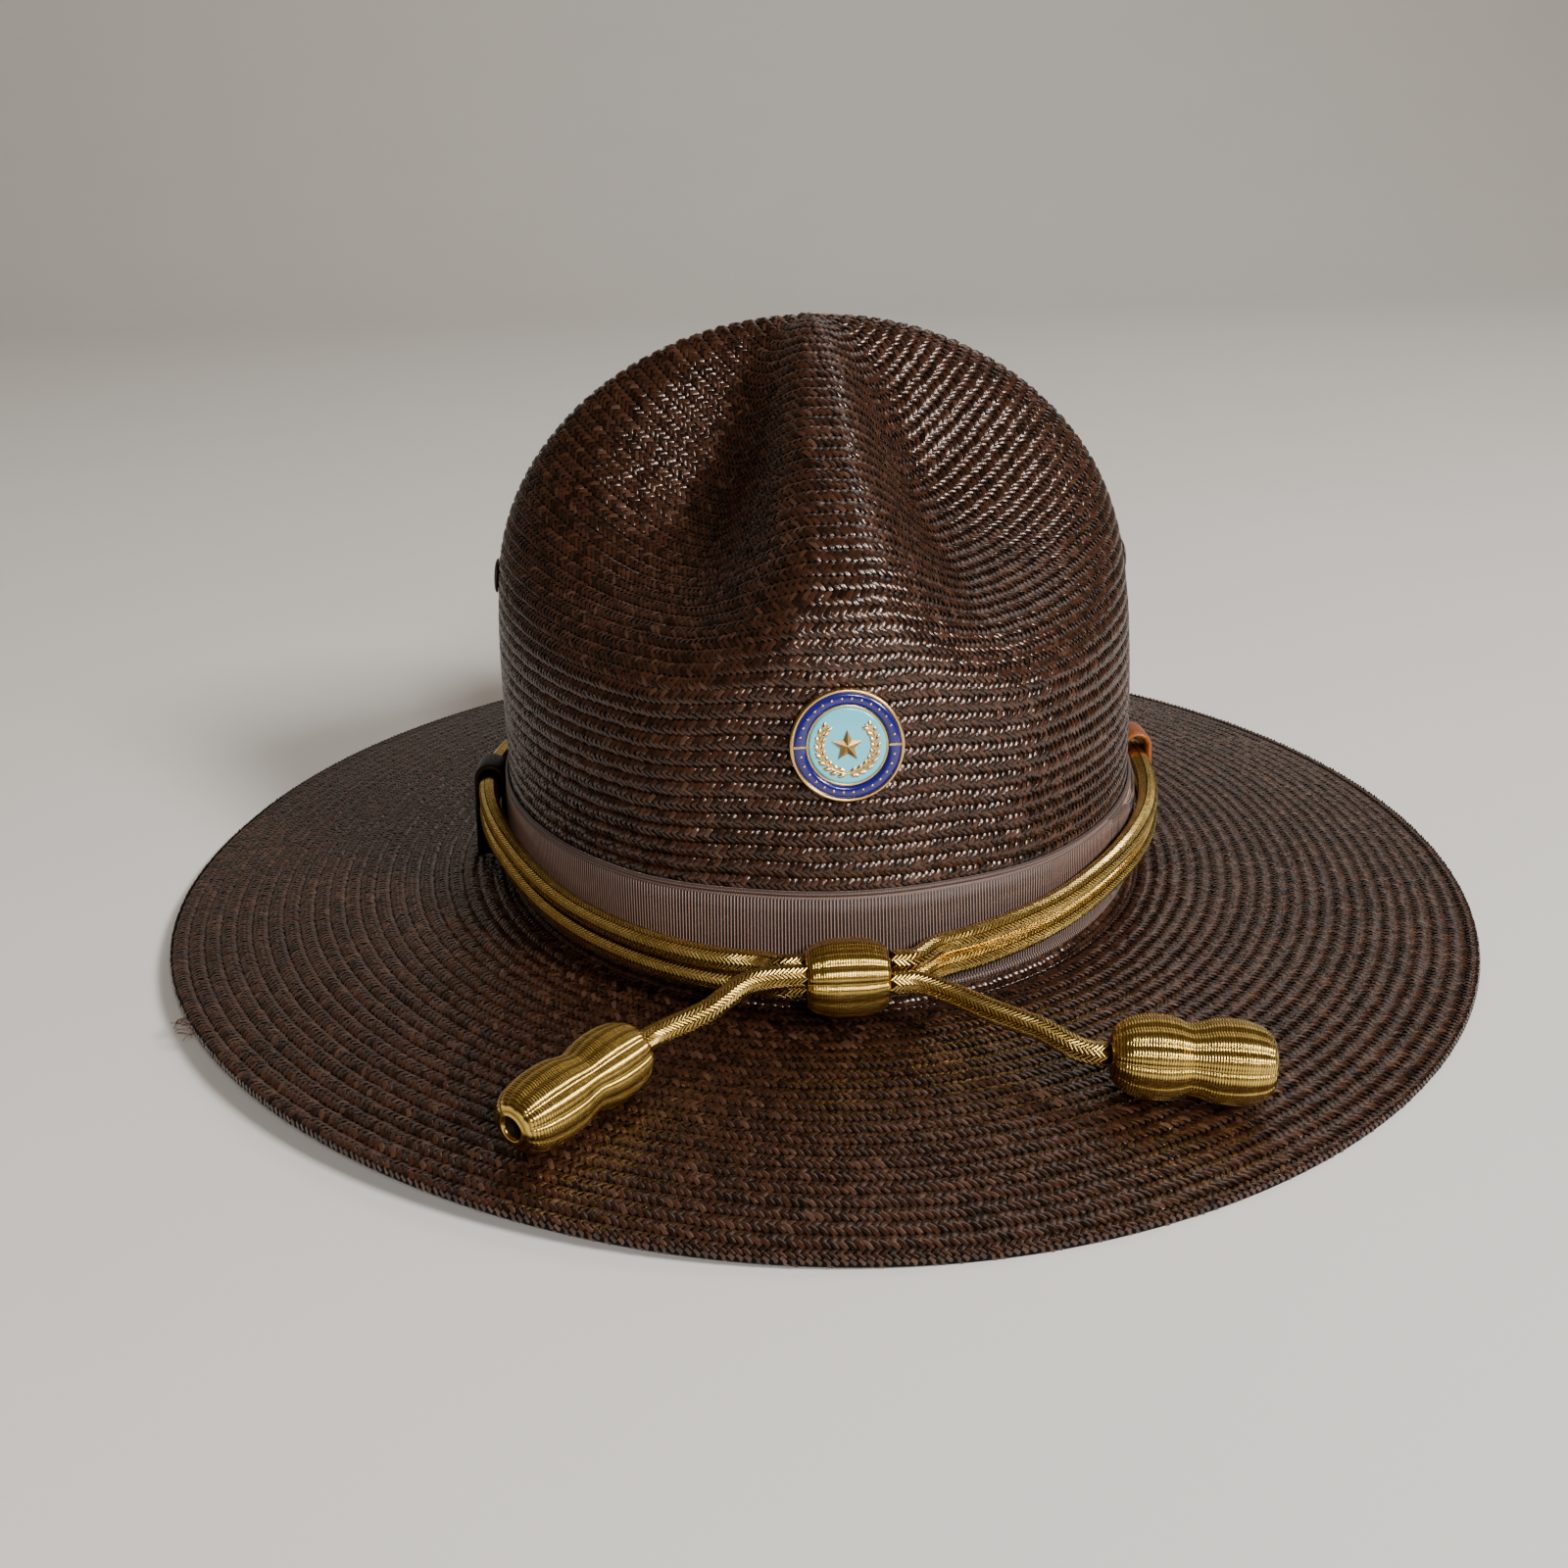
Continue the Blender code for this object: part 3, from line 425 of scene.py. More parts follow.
class Net:
    """A small writer for the nodes of one material."""

    def __init__(self, name: str) -> None:
        """Start a material with a Principled shader.

        Args:
            name: Material name.
        """
        self.material = bpy.data.materials.new(name)
        self.material.use_nodes = True
        self.tree = self.material.node_tree
        self.shader = self.tree.nodes["Principled BSDF"]

    def put(self, socket: Socket, value: object) -> None:
        """Feed an input.

        Args:
            socket: The input.
            value: A socket to link, or a number or colour to set.
        """
        if isinstance(value, Socket):
            self.tree.links.new(value, socket)
        elif isinstance(value, tuple) and len(value) == 3 and socket.type == "RGBA":
            socket.default_value = (*value, 1.0)
        else:
            socket.default_value = value

    def add(self, kind: str, inputs: dict | None = None, **settings: object) -> Node:
        """Add a node.

        Args:
            kind: Blender's node type.
            inputs: Values or sockets by input name or number.
            **settings: Properties of the node.

        Returns:
            The node.
        """
        node = self.tree.nodes.new(kind)
        for key, value in settings.items():
            setattr(node, key, value)
        for key, value in (inputs or {}).items():
            self.put(node.inputs[key], value)
        return node

    def math(self, operation: str, *values: object, clamp: bool = False) -> Socket:
        """Return the result of a Math node."""
        inputs = dict(enumerate(values))
        return self.add("ShaderNodeMath", inputs, operation=operation, use_clamp=clamp).outputs[0]

    def mix(self, share: object, low: object, high: object) -> Socket:
        """Return a mix of two colours."""
        return self.add("ShaderNodeMix", {0: share, 6: low, 7: high}, data_type="RGBA").outputs[2]

    def ramp(self, value: object, stops: list[tuple[float, tuple]]) -> Socket:
        """Colour a value.

        Args:
            value: What the ramp reads.
            stops: Places from 0 to 1 with their colours.

        Returns:
            The colour.
        """
        node = self.add("ShaderNodeValToRGB", {0: value})
        elements = node.color_ramp.elements
        while len(elements) < len(stops):
            elements.new(0.5)
        for element, (place, colour) in zip(elements, stops):
            element.position = place
            element.color = (*colour, 1.0)
        return node.outputs[0]

    def span(self, value: object, low: float, high: float) -> Socket:
        """Return a value from 0 to 1 spread over a range."""
        return self.add("ShaderNodeMapRange", {0: value, 3: low, 4: high}).outputs[0]

    def place(self) -> Socket:
        """Return the object coordinates."""
        return self.add("ShaderNodeTexCoord").outputs["Object"]

    def uv(self) -> tuple[Socket, Socket]:
        """Read the piece's UV map.

        Returns:
            Its two coordinates.
        """
        coordinates = self.add("ShaderNodeUVMap", uv_map="UVMap").outputs[0]
        split = self.add("ShaderNodeSeparateXYZ", {0: coordinates})
        return split.outputs[0], split.outputs[1]

    def tone(self) -> Socket:
        """Return the shade that each small part of the piece carries."""
        return self.add("ShaderNodeAttribute", attribute_name="tone").outputs["Fac"]

    def noise(self, scale: float, detail: float = 2.0, vector: object = None) -> Socket:
        """Return noise from 0 to 1, on the object's coordinates unless given others."""
        inputs = {"Vector": vector or self.place(), "Scale": scale, "Detail": detail}
        return self.add("ShaderNodeTexNoise", inputs).outputs["Fac"]

    def bump(self, height: object, depth: float, strength: float = 1.0) -> None:
        """Feed a height into the shader's normal."""
        inputs = {"Height": height, "Distance": depth, "Strength": strength}
        self.put(self.shader.inputs["Normal"], self.add("ShaderNodeBump", inputs).outputs[0])

    def finish(self, **inputs: object) -> Material:
        """Set shader inputs.

        Args:
            **inputs: Values by input name, with underscores for spaces.

        Returns:
            The material.
        """
        for key, value in inputs.items():
            self.put(self.shader.inputs[key.replace("_", " ")], value)
        return self.material


@dataclass(frozen=True)
class StrawFinish:
    """Lacquered brown splints: each has its own shade, with a streaky grain along it."""

    darkest: tuple = (0.007, 0.0028, 0.0014)
    middle: tuple = (0.031, 0.0122, 0.0070)
    reddish: tuple = (0.058, 0.0205, 0.0105)
    palest: tuple = (0.100, 0.0480, 0.0300)
    lacquer: tuple = (1.0, 0.83, 0.75, 1.0)
    roughness: tuple = (0.14, 0.28)

    def splints(self) -> Material:
        """Make the material of the single straws.

        Returns:
            The material.
        """
        net = Net("straw_splints")
        tone = net.tone()
        worn = net.noise(38.0, 3.0)
        shade = net.math("ADD", tone, net.span(worn, -0.16, 0.16), clamp=True)
        stops = [(0.0, self.darkest), (0.35, self.middle), (0.88, self.reddish), (1.0, self.palest)]
        grain = net.noise(2600.0, 2.0)
        colour = net.mix(net.span(grain, 0.0, 0.55), net.ramp(shade, stops), self.darkest)
        net.bump(grain, 0.00007, 0.6)
        return net.finish(
            Base_Color=colour,
            Roughness=net.span(net.noise(900.0, 1.0), *self.roughness),
            Specular_IOR_Level=0.70,
            Specular_Tint=self.lacquer,
        )

    def ground(self) -> Material:
        """Make the dark material that shows between the straws, near black as painted shade in the braid's
        gaps.

        Returns:
            The material.
        """
        net = Net("straw_ground")
        grain = net.noise(1500.0, 3.0)
        net.bump(grain, 0.0002, 0.8)
        colour = net.mix(grain, (0.0015, 0.0010, 0.0008), (0.006, 0.003, 0.002))
        return net.finish(Base_Color=colour, Roughness=0.85, Specular_IOR_Level=0.10)

    def plain_side(self) -> Material:
        """Make the material of the inside and the underside, plaited by its UV map, with painted shade in its
        seams and troughs.

        Returns:
            The material.
        """
        net = Net("straw_inside")
        along, row = net.uv()
        across = net.math("FRACT", row)
        half = net.math("ABSOLUTE", net.math("SUBTRACT", across, 0.5))
        slanted = net.math("ADD", along, net.math("MULTIPLY", half, 1.3))
        splint = net.math("SINE", net.math("MULTIPLY", slanted, 2.0 * math.pi))
        seam = net.math("POWER", net.math("MULTIPLY", half, 2.0), 6.0)
        height = net.math("SUBTRACT", net.math("MULTIPLY", splint, 0.5), net.math("MULTIPLY", seam, 1.6))
        half_row = net.math("FLOOR", net.math("MULTIPLY", row, 2.0))
        cell = net.add("ShaderNodeCombineXYZ", {0: net.math("FLOOR", slanted), 1: half_row})
        tone = net.add("ShaderNodeTexWhiteNoise", {"Vector": cell.outputs[0]}).outputs[0]
        stops = [(0.0, self.darkest), (0.5, self.middle), (0.9, self.reddish), (1.0, self.palest)]
        # Painted shade: the seams and the low half of each splint take the darkest colour, where the bump
        # dips
        dark = net.math("ADD", seam, net.span(splint, 0.5, 0.0), clamp=True)
        colour = net.mix(dark, net.ramp(tone, stops), self.darkest)
        net.bump(height, 0.0003)
        roughness = net.span(tone, 0.40, 0.58)
        return net.finish(Base_Color=colour, Roughness=roughness, Specular_Tint=self.lacquer)


@dataclass(frozen=True)
class RibbonFinish:
    """Ribbed brown ribbon with a soft sheen: paler on the ribs as a painted highlight, dark between them as
    painted shade.
    """

    # Groove colour: painted shade; crest colour: painted sheen highlight on the ribs
    painted_groove_shade: tuple = (0.006, 0.003, 0.002)
    crest: tuple = (0.520, 0.310, 0.250)
    border: tuple = (0.94, 0.978)

    def material(self) -> Material:
        """Make the ribbon's material.

        Returns:
            The material.
        """
        net = Net("ribbon_ribbed")
        rib, across = net.uv()
        wave = net.math("SINE", net.math("MULTIPLY", rib, 2.0 * math.pi))
        thread = net.math("SINE", net.math("MULTIPLY", across, 2.0 * math.pi * 80.0))
        fibre = net.noise(1900.0, 2.0)
        # Crests of the ribs, which take the painted highlight; the grooves take the painted shade
        crest = net.math("MULTIPLY_ADD", wave, 1.25, -0.30, clamp=True)
        edge = net.add("ShaderNodeMapRange", {0: across, 1: 0.925, 2: 0.932}).outputs[0]
        lines = []
        for line in self.border:
            off = net.math("ABSOLUTE", net.math("SUBTRACT", across, line))
            lines.append(net.add("ShaderNodeMapRange", {0: off, 1: 0.010, 2: 0.0}).outputs[0])
        dots = net.math("SINE", net.math("MULTIPLY", rib, 4.0 * math.pi))
        dots = net.math("MULTIPLY_ADD", dots, 0.6, 0.4)
        dots = net.math("MULTIPLY", net.math("ADD", *lines), dots, clamp=True)
        dots = net.math("MULTIPLY_ADD", dots, 0.75, 0.12)
        body = net.add("ShaderNodeMix", {0: edge, 2: crest, 3: dots}).outputs[0]
        shade = net.math("MULTIPLY", body, net.span(fibre, 0.65, 1.15))
        height = net.math("ADD", body, net.math("MULTIPLY", thread, 0.08))
        net.bump(net.math("ADD", height, net.math("MULTIPLY", fibre, 0.2)), 0.00014)
        return net.finish(
            Base_Color=net.mix(shade, self.painted_groove_shade, self.crest),
            Roughness=net.span(fibre, 0.34, 0.52),
            Sheen_Weight=0.2,
            Sheen_Roughness=0.4,
        )


@dataclass(frozen=True)
class GoldThreadFinish:
    """Metallic gold thread coloured by tone: on the wound barrels bright on the windings and deep olive brown
    between them as painted shade, on the plait at random.
    """

    bright: tuple = (1.0, 0.72, 0.20)
    deep: tuple = (0.22, 0.12, 0.018)
    shades: tuple = (0.0, 1.0)

    def material(self, name: str, roughness: tuple[float, float]) -> Material:
        """Return the material.

        Args:
            name: Material name.
            roughness: Lowest and highest roughness.

        Returns:
            The material.
        """
        net = Net(name)
        grain = net.noise(1400.0, 3.0)
        worn = net.span(net.noise(120.0, 2.0), 0.80, 1.1)
        shade = net.math("MULTIPLY", net.span(net.tone(), *self.shades), worn)
        net.bump(grain, 0.00004, 0.5)
        return net.finish(
            Base_Color=net.mix(shade, self.deep, self.bright),
            Metallic=1.0,
            Roughness=net.span(grain, *roughness),
        )


@dataclass(frozen=True)
class GoldPlateFinish:
    """Polished gold plate, a little hazy, with fine scratches."""

    colour: tuple = (1.0, 0.70, 0.28)
    tarnish: tuple = (0.60, 0.34, 0.10)

    def material(self) -> Material:
        """Make the plate's material.

        Returns:
            The material.
        """
        net = Net("gold_plate_polished")
        haze = net.noise(420.0, 4.0)
        scratches = net.noise(5200.0, 1.0)
        net.bump(scratches, 0.00002, 0.5)
        return net.finish(
            Base_Color=net.mix(net.span(haze, -0.4, 0.9), self.colour, self.tarnish),
            Metallic=1.0,
            Roughness=net.span(haze, 0.16, 0.34),
        )


@dataclass(frozen=True)
class EnamelFinish:
    """Hard enamel: a clear coat over a slightly cloudy colour."""

    name: str
    colour: tuple
    cloud: tuple

    def material(self) -> Material:
        """Make the enamel's material.

        Returns:
            The material.
        """
        net = Net(self.name)
        cloud = net.noise(300.0, 3.0)
        net.bump(net.noise(700.0, 1.0), 0.00003, 0.5)
        return net.finish(
            Base_Color=net.mix(cloud, self.colour, self.cloud),
            Roughness=net.span(cloud, 0.14, 0.24),
            Coat_Weight=0.6,
            Coat_Roughness=0.08,
        )


@dataclass(frozen=True)
class LeatherFinish:
    """Polished strap leather with a fine cracked grain, paler along its two cut edges."""

    name: str
    colour: tuple
    edge: tuple
    gloss: float

    def material(self) -> Material:
        """Make the leather's material.

        Returns:
            The material.
        """
        net = Net(self.name)
        cells = net.add("ShaderNodeTexVoronoi", {"Vector": net.place(), "Scale": 1500.0}).outputs["Distance"]
        patch = net.noise(160.0, 4.0)
        net.bump(net.math("ADD", cells, net.math("MULTIPLY", patch, 0.8)), 0.00012, 0.7)
        colour = net.mix(net.span(patch, -0.3, 0.8), self.colour, self.edge)
        return net.finish(
            Base_Color=net.mix(net.tone(), colour, self.edge),
            Roughness=net.span(cells, 0.28, 0.46),
            Specular_IOR_Level=self.gloss,
        )


@dataclass(frozen=True)
class PaintFinish:
    """Baked paint on a small metal part, with faint speckle; also the near-black painted shade inside the
    acorns' mouths.
    """

    name: str
    colour: tuple

    def material(self) -> Material:
        """Make the paint's material.

        Returns:
            The material.
        """
        net = Net(self.name)
        speckle = net.noise(2400.0, 2.0)
        net.bump(speckle, 0.00003, 0.6)
        pale = tuple(min(1.0, 2.2 * value) for value in self.colour)
        return net.finish(
            Base_Color=net.mix(net.span(speckle, 0.0, 0.6), self.colour, pale),
            Roughness=net.span(speckle, 0.30, 0.42),
        )


@dataclass(frozen=True)
class FloorFinish:
    """Pale matt table top with a faint mottle."""

    pale: tuple = (0.93, 0.92, 0.89)
    grey: tuple = (0.89, 0.88, 0.85)

    def material(self) -> Material:
        """Make the floor's material.

        Returns:
            The material.
        """
        net = Net("floor_pale")
        mottle = net.noise(9.0, 4.0)
        return net.finish(Base_Color=net.mix(mottle, self.pale, self.grey), Roughness=0.55)


# Small repeated parts, laid by Geometry Nodes


class Scatter:
    """A Geometry Nodes tree that lays one small shape on every point of a mesh."""

    def __init__(self, name: str, shape: Piece, finish: Material, seed: int, tilt: float) -> None:
        """Build the tree.

        Args:
            name: Tree name.
            shape: The small shape, 1 m long, wide and high, which each point scales.
            finish: Material of the laid shapes.
            seed: Seed of each shape's shade and tilt.
            tilt: Largest turn of a shape off its place, in radians.
        """
        self.shape, self.finish, self.seed, self.tilt = shape, finish, seed, tilt
        self.tree = bpy.data.node_groups.new(name, "GeometryNodeTree")
        self.inputs: dict[str, str] = {}
        face = self.tree.interface
        for label, kind in (
            ("Geometry", "NodeSocketGeometry"), ("Shape", "NodeSocketObject"),
            ("Finish", "NodeSocketMaterial"), ("Seed", "NodeSocketInt"), ("Tilt", "NodeSocketFloat"),
        ):
            self.inputs[label] = face.new_socket(name=label, in_out="INPUT", socket_type=kind).identifier
        face.new_socket(name="Geometry", in_out="OUTPUT", socket_type="NodeSocketGeometry")
        self._wire()

    def _node(self, kind: str, **settings: object) -> Node:
        """Add a node.

        Args:
            kind: Blender's node type.
            **settings: Properties of the node.

        Returns:
            The node.
        """
        node = self.tree.nodes.new(kind)
        for key, value in settings.items():
            setattr(node, key, value)
        return node

    def _named(self, name: str) -> Socket:
        """Read a vector that each point carries.

        Args:
            name: Its name.

        Returns:
            The vector's socket.
        """
        node = self._node("GeometryNodeInputNamedAttribute", data_type="FLOAT_VECTOR")
        node.inputs["Name"].default_value = name
        return node.outputs["Attribute"]

    def _wire(self) -> None:
        """Link the nodes: frame, random tilt, instances, shade, realize and material."""
        link = self.tree.links.new
        given = self._node("NodeGroupInput").outputs
        result = self._node("NodeGroupOutput").inputs
        axes = self._node("FunctionNodeAxesToRotation", primary_axis="Z", secondary_axis="X")
        link(self._named("out"), axes.inputs[0])
        link(self._named("along"), axes.inputs[1])
        spread = self._node("ShaderNodeVectorMath", operation="SCALE")
        random = self._node("FunctionNodeRandomValue", data_type="FLOAT_VECTOR")
        random.inputs[0].default_value = (-1.0, -1.0, -1.0)
        random.inputs[1].default_value = (1.0, 1.0, 1.0)
        link(given["Seed"], random.inputs["Seed"])
        link(random.outputs[0], spread.inputs[0])
        link(given["Tilt"], spread.inputs["Scale"])
        euler = self._node("FunctionNodeEulerToRotation")
        link(spread.outputs[0], euler.inputs[0])
        turn = self._node("FunctionNodeRotateRotation", rotation_space="LOCAL")
        link(axes.outputs[0], turn.inputs[0])
        link(euler.outputs[0], turn.inputs[1])
        shape = self._node("GeometryNodeObjectInfo")
        link(given["Shape"], shape.inputs["Object"])
        lay = self._node("GeometryNodeInstanceOnPoints")
        link(given["Geometry"], lay.inputs["Points"])
        link(shape.outputs["Geometry"], lay.inputs["Instance"])
        link(turn.outputs[0], lay.inputs["Rotation"])
        link(self._named("size"), lay.inputs["Scale"])
        shade = self._node("FunctionNodeRandomValue", data_type="FLOAT")
        link(given["Seed"], shade.inputs["Seed"])
        store = self._node("GeometryNodeStoreNamedAttribute", data_type="FLOAT", domain="INSTANCE")
        store.inputs["Name"].default_value = "tone"
        link(lay.outputs[0], store.inputs["Geometry"])
        link(shade.outputs[1], next(s for s in store.inputs if s.name == "Value" and s.enabled))
        real = self._node("GeometryNodeRealizeInstances")
        link(store.outputs[0], real.inputs[0])
        dressed = self._node("GeometryNodeSetMaterial")
        link(real.outputs[0], dressed.inputs["Geometry"])
        link(given["Finish"], dressed.inputs["Material"])
        link(dressed.outputs[0], result["Geometry"])

    def lay(self, name: str, places: Array, out: Array, along: Array, sizes: Array) -> Piece:
        """Lay the shape on points.

        Args:
            name: Name of the new piece.
            places: Where each shape's middle goes.
            out: Direction of each shape's top.
            along: Direction of each shape's length.
            sizes: Length, width and height of each shape.

        Returns:
            A plain mesh object with all the shapes.
        """
        mesh = bpy.data.meshes.new(name + "_points")
        mesh.from_pydata(np.asarray(places).tolist(), [], [])
        for label, values in (("out", out), ("along", along), ("size", sizes)):
            data = mesh.attributes.new(label, "FLOAT_VECTOR", "POINT").data
            data.foreach_set("vector", np.asarray(values, np.float32).ravel())
        holder = show(name + "_points", mesh)
        modifier = holder.modifiers.new("lay", "NODES")
        modifier.node_group = self.tree
        for label, value in (
            ("Shape", self.shape), ("Finish", self.finish), ("Seed", self.seed), ("Tilt", self.tilt),
        ):
            modifier[self.inputs[label]] = value
        graph = bpy.context.evaluated_depsgraph_get()
        laid = bpy.data.meshes.new_from_object(
            holder.evaluated_get(graph), preserve_all_data_layers=True, depsgraph=graph
        )
        laid.name = name
        laid.shade_smooth()
        bpy.data.objects.remove(holder)
        return show(name, laid)


@dataclass(frozen=True)
class Splint:
    """The small shapes that are laid by the thousand: one flat straw, crowned and tucked in at its ends."""

    tucked: float = -0.25
    edge: float = 0.30

    def straw(self) -> Piece:
        """Return a straw of eight triangles."""
        end = (self.tucked - 0.5, self.tucked, self.tucked - 0.5)
        return self._sheet("straw_shape", (end, (self.edge, 1.0, self.edge), end))

    def stitch(self) -> Piece:
        """Return a plait stitch of four triangles, closed off at the sides only by its slope."""
        return self._sheet("stitch_shape", ((-0.4, 0.7, -0.4), (-0.4, 0.7, -0.4)))

    def bead(self) -> Piece:
        """Make a half ball of 1 m radius.

        Returns:
            The shape.
        """
        rings = [(math.cos(a), math.sin(a)) for a in np.linspace(-0.2, 0.49 * math.pi, 5)]
        points, faces = turned([(height, radius) for radius, height in rings] + [(1.0, 0.0)], 12, Matrix())
        points = points.reshape(-1, 3)[:, (1, 2, 0)]
        return make_piece("bead_shape", points, faces, [])

    def _sheet(self, name: str, heights: tuple) -> Piece:
        """Make a sheet from -0.5 to 0.5 in X and Y.

        Args:
            name: Name of the shape.
            heights: Its heights, as rows and columns.

        Returns:
            The shape.
        """
        grid = np.array(heights, float)
        rows, columns = grid.shape
        x, y = np.meshgrid(np.linspace(-0.5, 0.5, rows), np.linspace(-0.5, 0.5, columns), indexing="ij")
        mesh = bpy.data.meshes.new(name)
        points = np.stack((x, y, grid), axis=2).reshape(-1, 3)
        mesh.from_pydata(points.tolist(), [], strip_faces(rows, columns, ring=False))
        mesh.shade_smooth()
        return show(name, mesh)


# The hat's form


@dataclass(frozen=True)
class HatForm:
    """Sizes and surfaces of crown and brim, as in the part."""

    wall: float = 0.0020
    half_width: float = 0.0835
    half_length: float = 0.1010
    height: float = 0.1400
    fillet: float = 0.0020
    brim_half_width: float = 0.1700
    brim_half_length: float = 0.1847
    droop: float = 0.0053
    lift: float = 0.0048
    lift_centre: float = math.radians(-137.0)
    lift_span: float = math.radians(58.0)
    fall_power: float = 1.7
    rim_flat: float = 0.0030
    dent_turn: float = math.radians(42.0)
    gap: float = 0.0003

    @property
    def foot_z(self) -> float:
        """Return the height of the brim's top at the crown's foot."""
        return self.wall + self.droop

    @cached_property
    def profiles(self) -> list[Array]:
        """Spread the ridge, dent and side profiles at even steps down.

        Returns:
            Three arrays of (reach share, height) rows.
        """
        dent_half = math.hypot(
            self.half_width * math.sin(self.dent_turn), self.half_length * math.cos(self.dent_turn)
        )
        halves = (self.half_length, dent_half, self.half_width)
        lines = zip((RIDGE_PROFILE, DENT_PROFILE, SIDE_PROFILE), halves)
        return [smooth_curve(np.array(row) * (half, self.height), 401) / (half, 1.0) for row, half in lines]

    def crown(self, angle: Array, down: Array) -> Array:
        """Return points of the crown's outside.

        Args:
            angle: Angles from +X.
            down: Shares of the way from the tip to the foot plane.

        Returns:
            Points in the last axis.
        """
        angle, down = np.broadcast_arrays(np.asarray(angle, float), np.asarray(down, float))
        turn = np.degrees(np.arcsin(np.minimum(1.0, np.abs(np.cos(angle)))))
        spread = np.array(DENT_SPREAD)
        ridge_edge, start, end = (np.interp(down, spread[:, 0], spread[:, k]) for k in (1, 2, 3))
        crest = 0.8 * ridge_edge
        near = smoothstep(np.clip((turn - crest) / (start - crest), 0.0, 1.0) ** 0.9)
        fade = np.clip((turn - end) / (90.0 - end), 0.0, 1.0)
        far = np.maximum(0.0, np.cos(math.pi / 2 * fade**1.25)) ** 1.6
        within = turn < end
        weights = (
            np.where(within, 1.0 - near, 0.0), np.where(within, near, far), np.where(within, 0.0, 1.0 - far)
        )
        steps = np.linspace(0.0, 1.0, 401)
        reach, height = (
            sum(w * np.interp(down, steps, p[:, k]) for w, p in zip(weights, self.profiles)) for k in (0, 1)
        )
        x, y = self.half_width * reach * np.cos(angle), self.half_length * reach * np.sin(angle)
        return np.stack((x, y, self.foot_z + height), axis=-1)

    @cached_property
    def _foot_down(self) -> tuple[Array, Array]:
        """Find where the wall meets the foot's fillet.

        Returns:
            Angles, and the share of the way down at each.
        """
        angles = np.linspace(-math.pi, math.pi, 721)
        downs = np.linspace(1.0, 0.8, 41)
        heights = self.crown(angles[:, None], downs[None, :])[:, :, 2] - self.foot_z
        return angles, np.array([np.interp(self.fillet, row, downs) for row in heights])

    def crown_rows(self, angle: Array, share: Array) -> Array:
        """Return points of the crown by the share of the way from the tip to the foot's fillet."""
        wrapped = (np.asarray(angle) + math.pi) % (2.0 * math.pi) - math.pi
        return self.crown(angle, share * np.interp(wrapped, *self._foot_down))

    def outward(self, angle: Array) -> Array:
        """Return the level direction square to the crown's foot."""
        x, y = np.cos(angle) / self.half_width, np.sin(angle) / self.half_length
        return unit(np.stack((x, y, np.zeros_like(x)), axis=-1))

    def brim(self, angle: Array, share: Array) -> Array:
        """Return points of the brim's top.

        Args:
            angle: Angles from +X.
            share: Shares of the way from the foot's fillet to the rim.

        Returns:
            Points in the last axis.
        """
        angle, share = np.broadcast_arrays(np.asarray(angle, float), np.asarray(share, float))
        cos, sin, level = np.cos(angle), np.sin(angle), np.zeros_like(angle)
        inner = np.stack((self.half_width * cos, self.half_length * sin, level), axis=-1)
        inner = inner + self.outward(angle) * self.fillet
        edge = np.stack((self.brim_half_width * cos, self.brim_half_length * sin, level), axis=-1)
        place = inner + (edge - inner) * share[..., None]
        flat = self.rim_flat / np.linalg.norm(edge - inner, axis=-1)
        fall = np.minimum(1.0, share / (1.0 - flat)) ** self.fall_power
        away = np.abs((angle - self.lift_centre + math.pi) % (2.0 * math.pi) - math.pi)
        lift = 0.5 * (1.0 + np.cos(math.pi * np.minimum(1.0, away / self.lift_span)))
        place[..., 2] = self.foot_z - (self.droop - self.lift * lift) * fall
        return place

    def wall_points(self, angle: Array, height: Array) -> Array:
        """Return points of the crown's wall.

        Args:
            angle: Angles from +X, one a column.
            height: Heights above the foot plane, one a row.

        Returns:
            An array of rows, columns and coordinates.
        """
        downs = np.linspace(1.0, 0.35, 80)
        columns = []
        for one in np.atleast_1d(angle):
            heights = self.crown(one, downs)[:, 2] - self.foot_z
            columns.append(self.crown(one, np.interp(np.atleast_1d(height), heights, downs)))
        return np.stack(columns, axis=1)

    def wall_frame(self, angle: float, height: float, stand_off: float) -> Matrix:
        """Return a matrix on the crown's wall.

        Args:
            angle: Angle from +X.
            height: Height above the foot plane.
            stand_off: Distance from the wall.

        Returns:
            The matrix. Its +X points out of the wall and its +Z up along it.
        """
        here, above, below = (
            Vector(self.wall_points(angle, height + step)[0, 0]) for step in (0.0, 0.004, -0.004)
        )
        up = (above - below).normalized()
        side = Vector((0.0, 0.0, 1.0)).cross(Vector(self.outward(angle))).normalized()
        out = side.cross(up).normalized()
        axes = Matrix((out, side, up)).transposed().to_4x4()
        return Matrix.Translation(here) @ axes @ Matrix.Translation((stand_off, 0.0, 0.0))

    def brim_height(self, x: float, y: float) -> float:
        """Find the height of the brim's top by halving the way to the rim.

        Args:
            x: Place across the hat.
            y: Place along the hat.

        Returns:
            The height.
        """
        inner, outer = 0.0, 1.0
        for _ in range(20):
            share = 0.5 * (inner + outer)
            half_width = (1.0 - share) * (self.half_width + self.fillet) + share * self.brim_half_width
            half_length = (1.0 - share) * (self.half_length + self.fillet) + share * self.brim_half_length
            if math.hypot(x / half_width, y / half_length) > 1.0:
                inner = share
            else:
                outer = share
        return float(self.brim(math.atan2(y / half_length, x / half_width), share)[2])


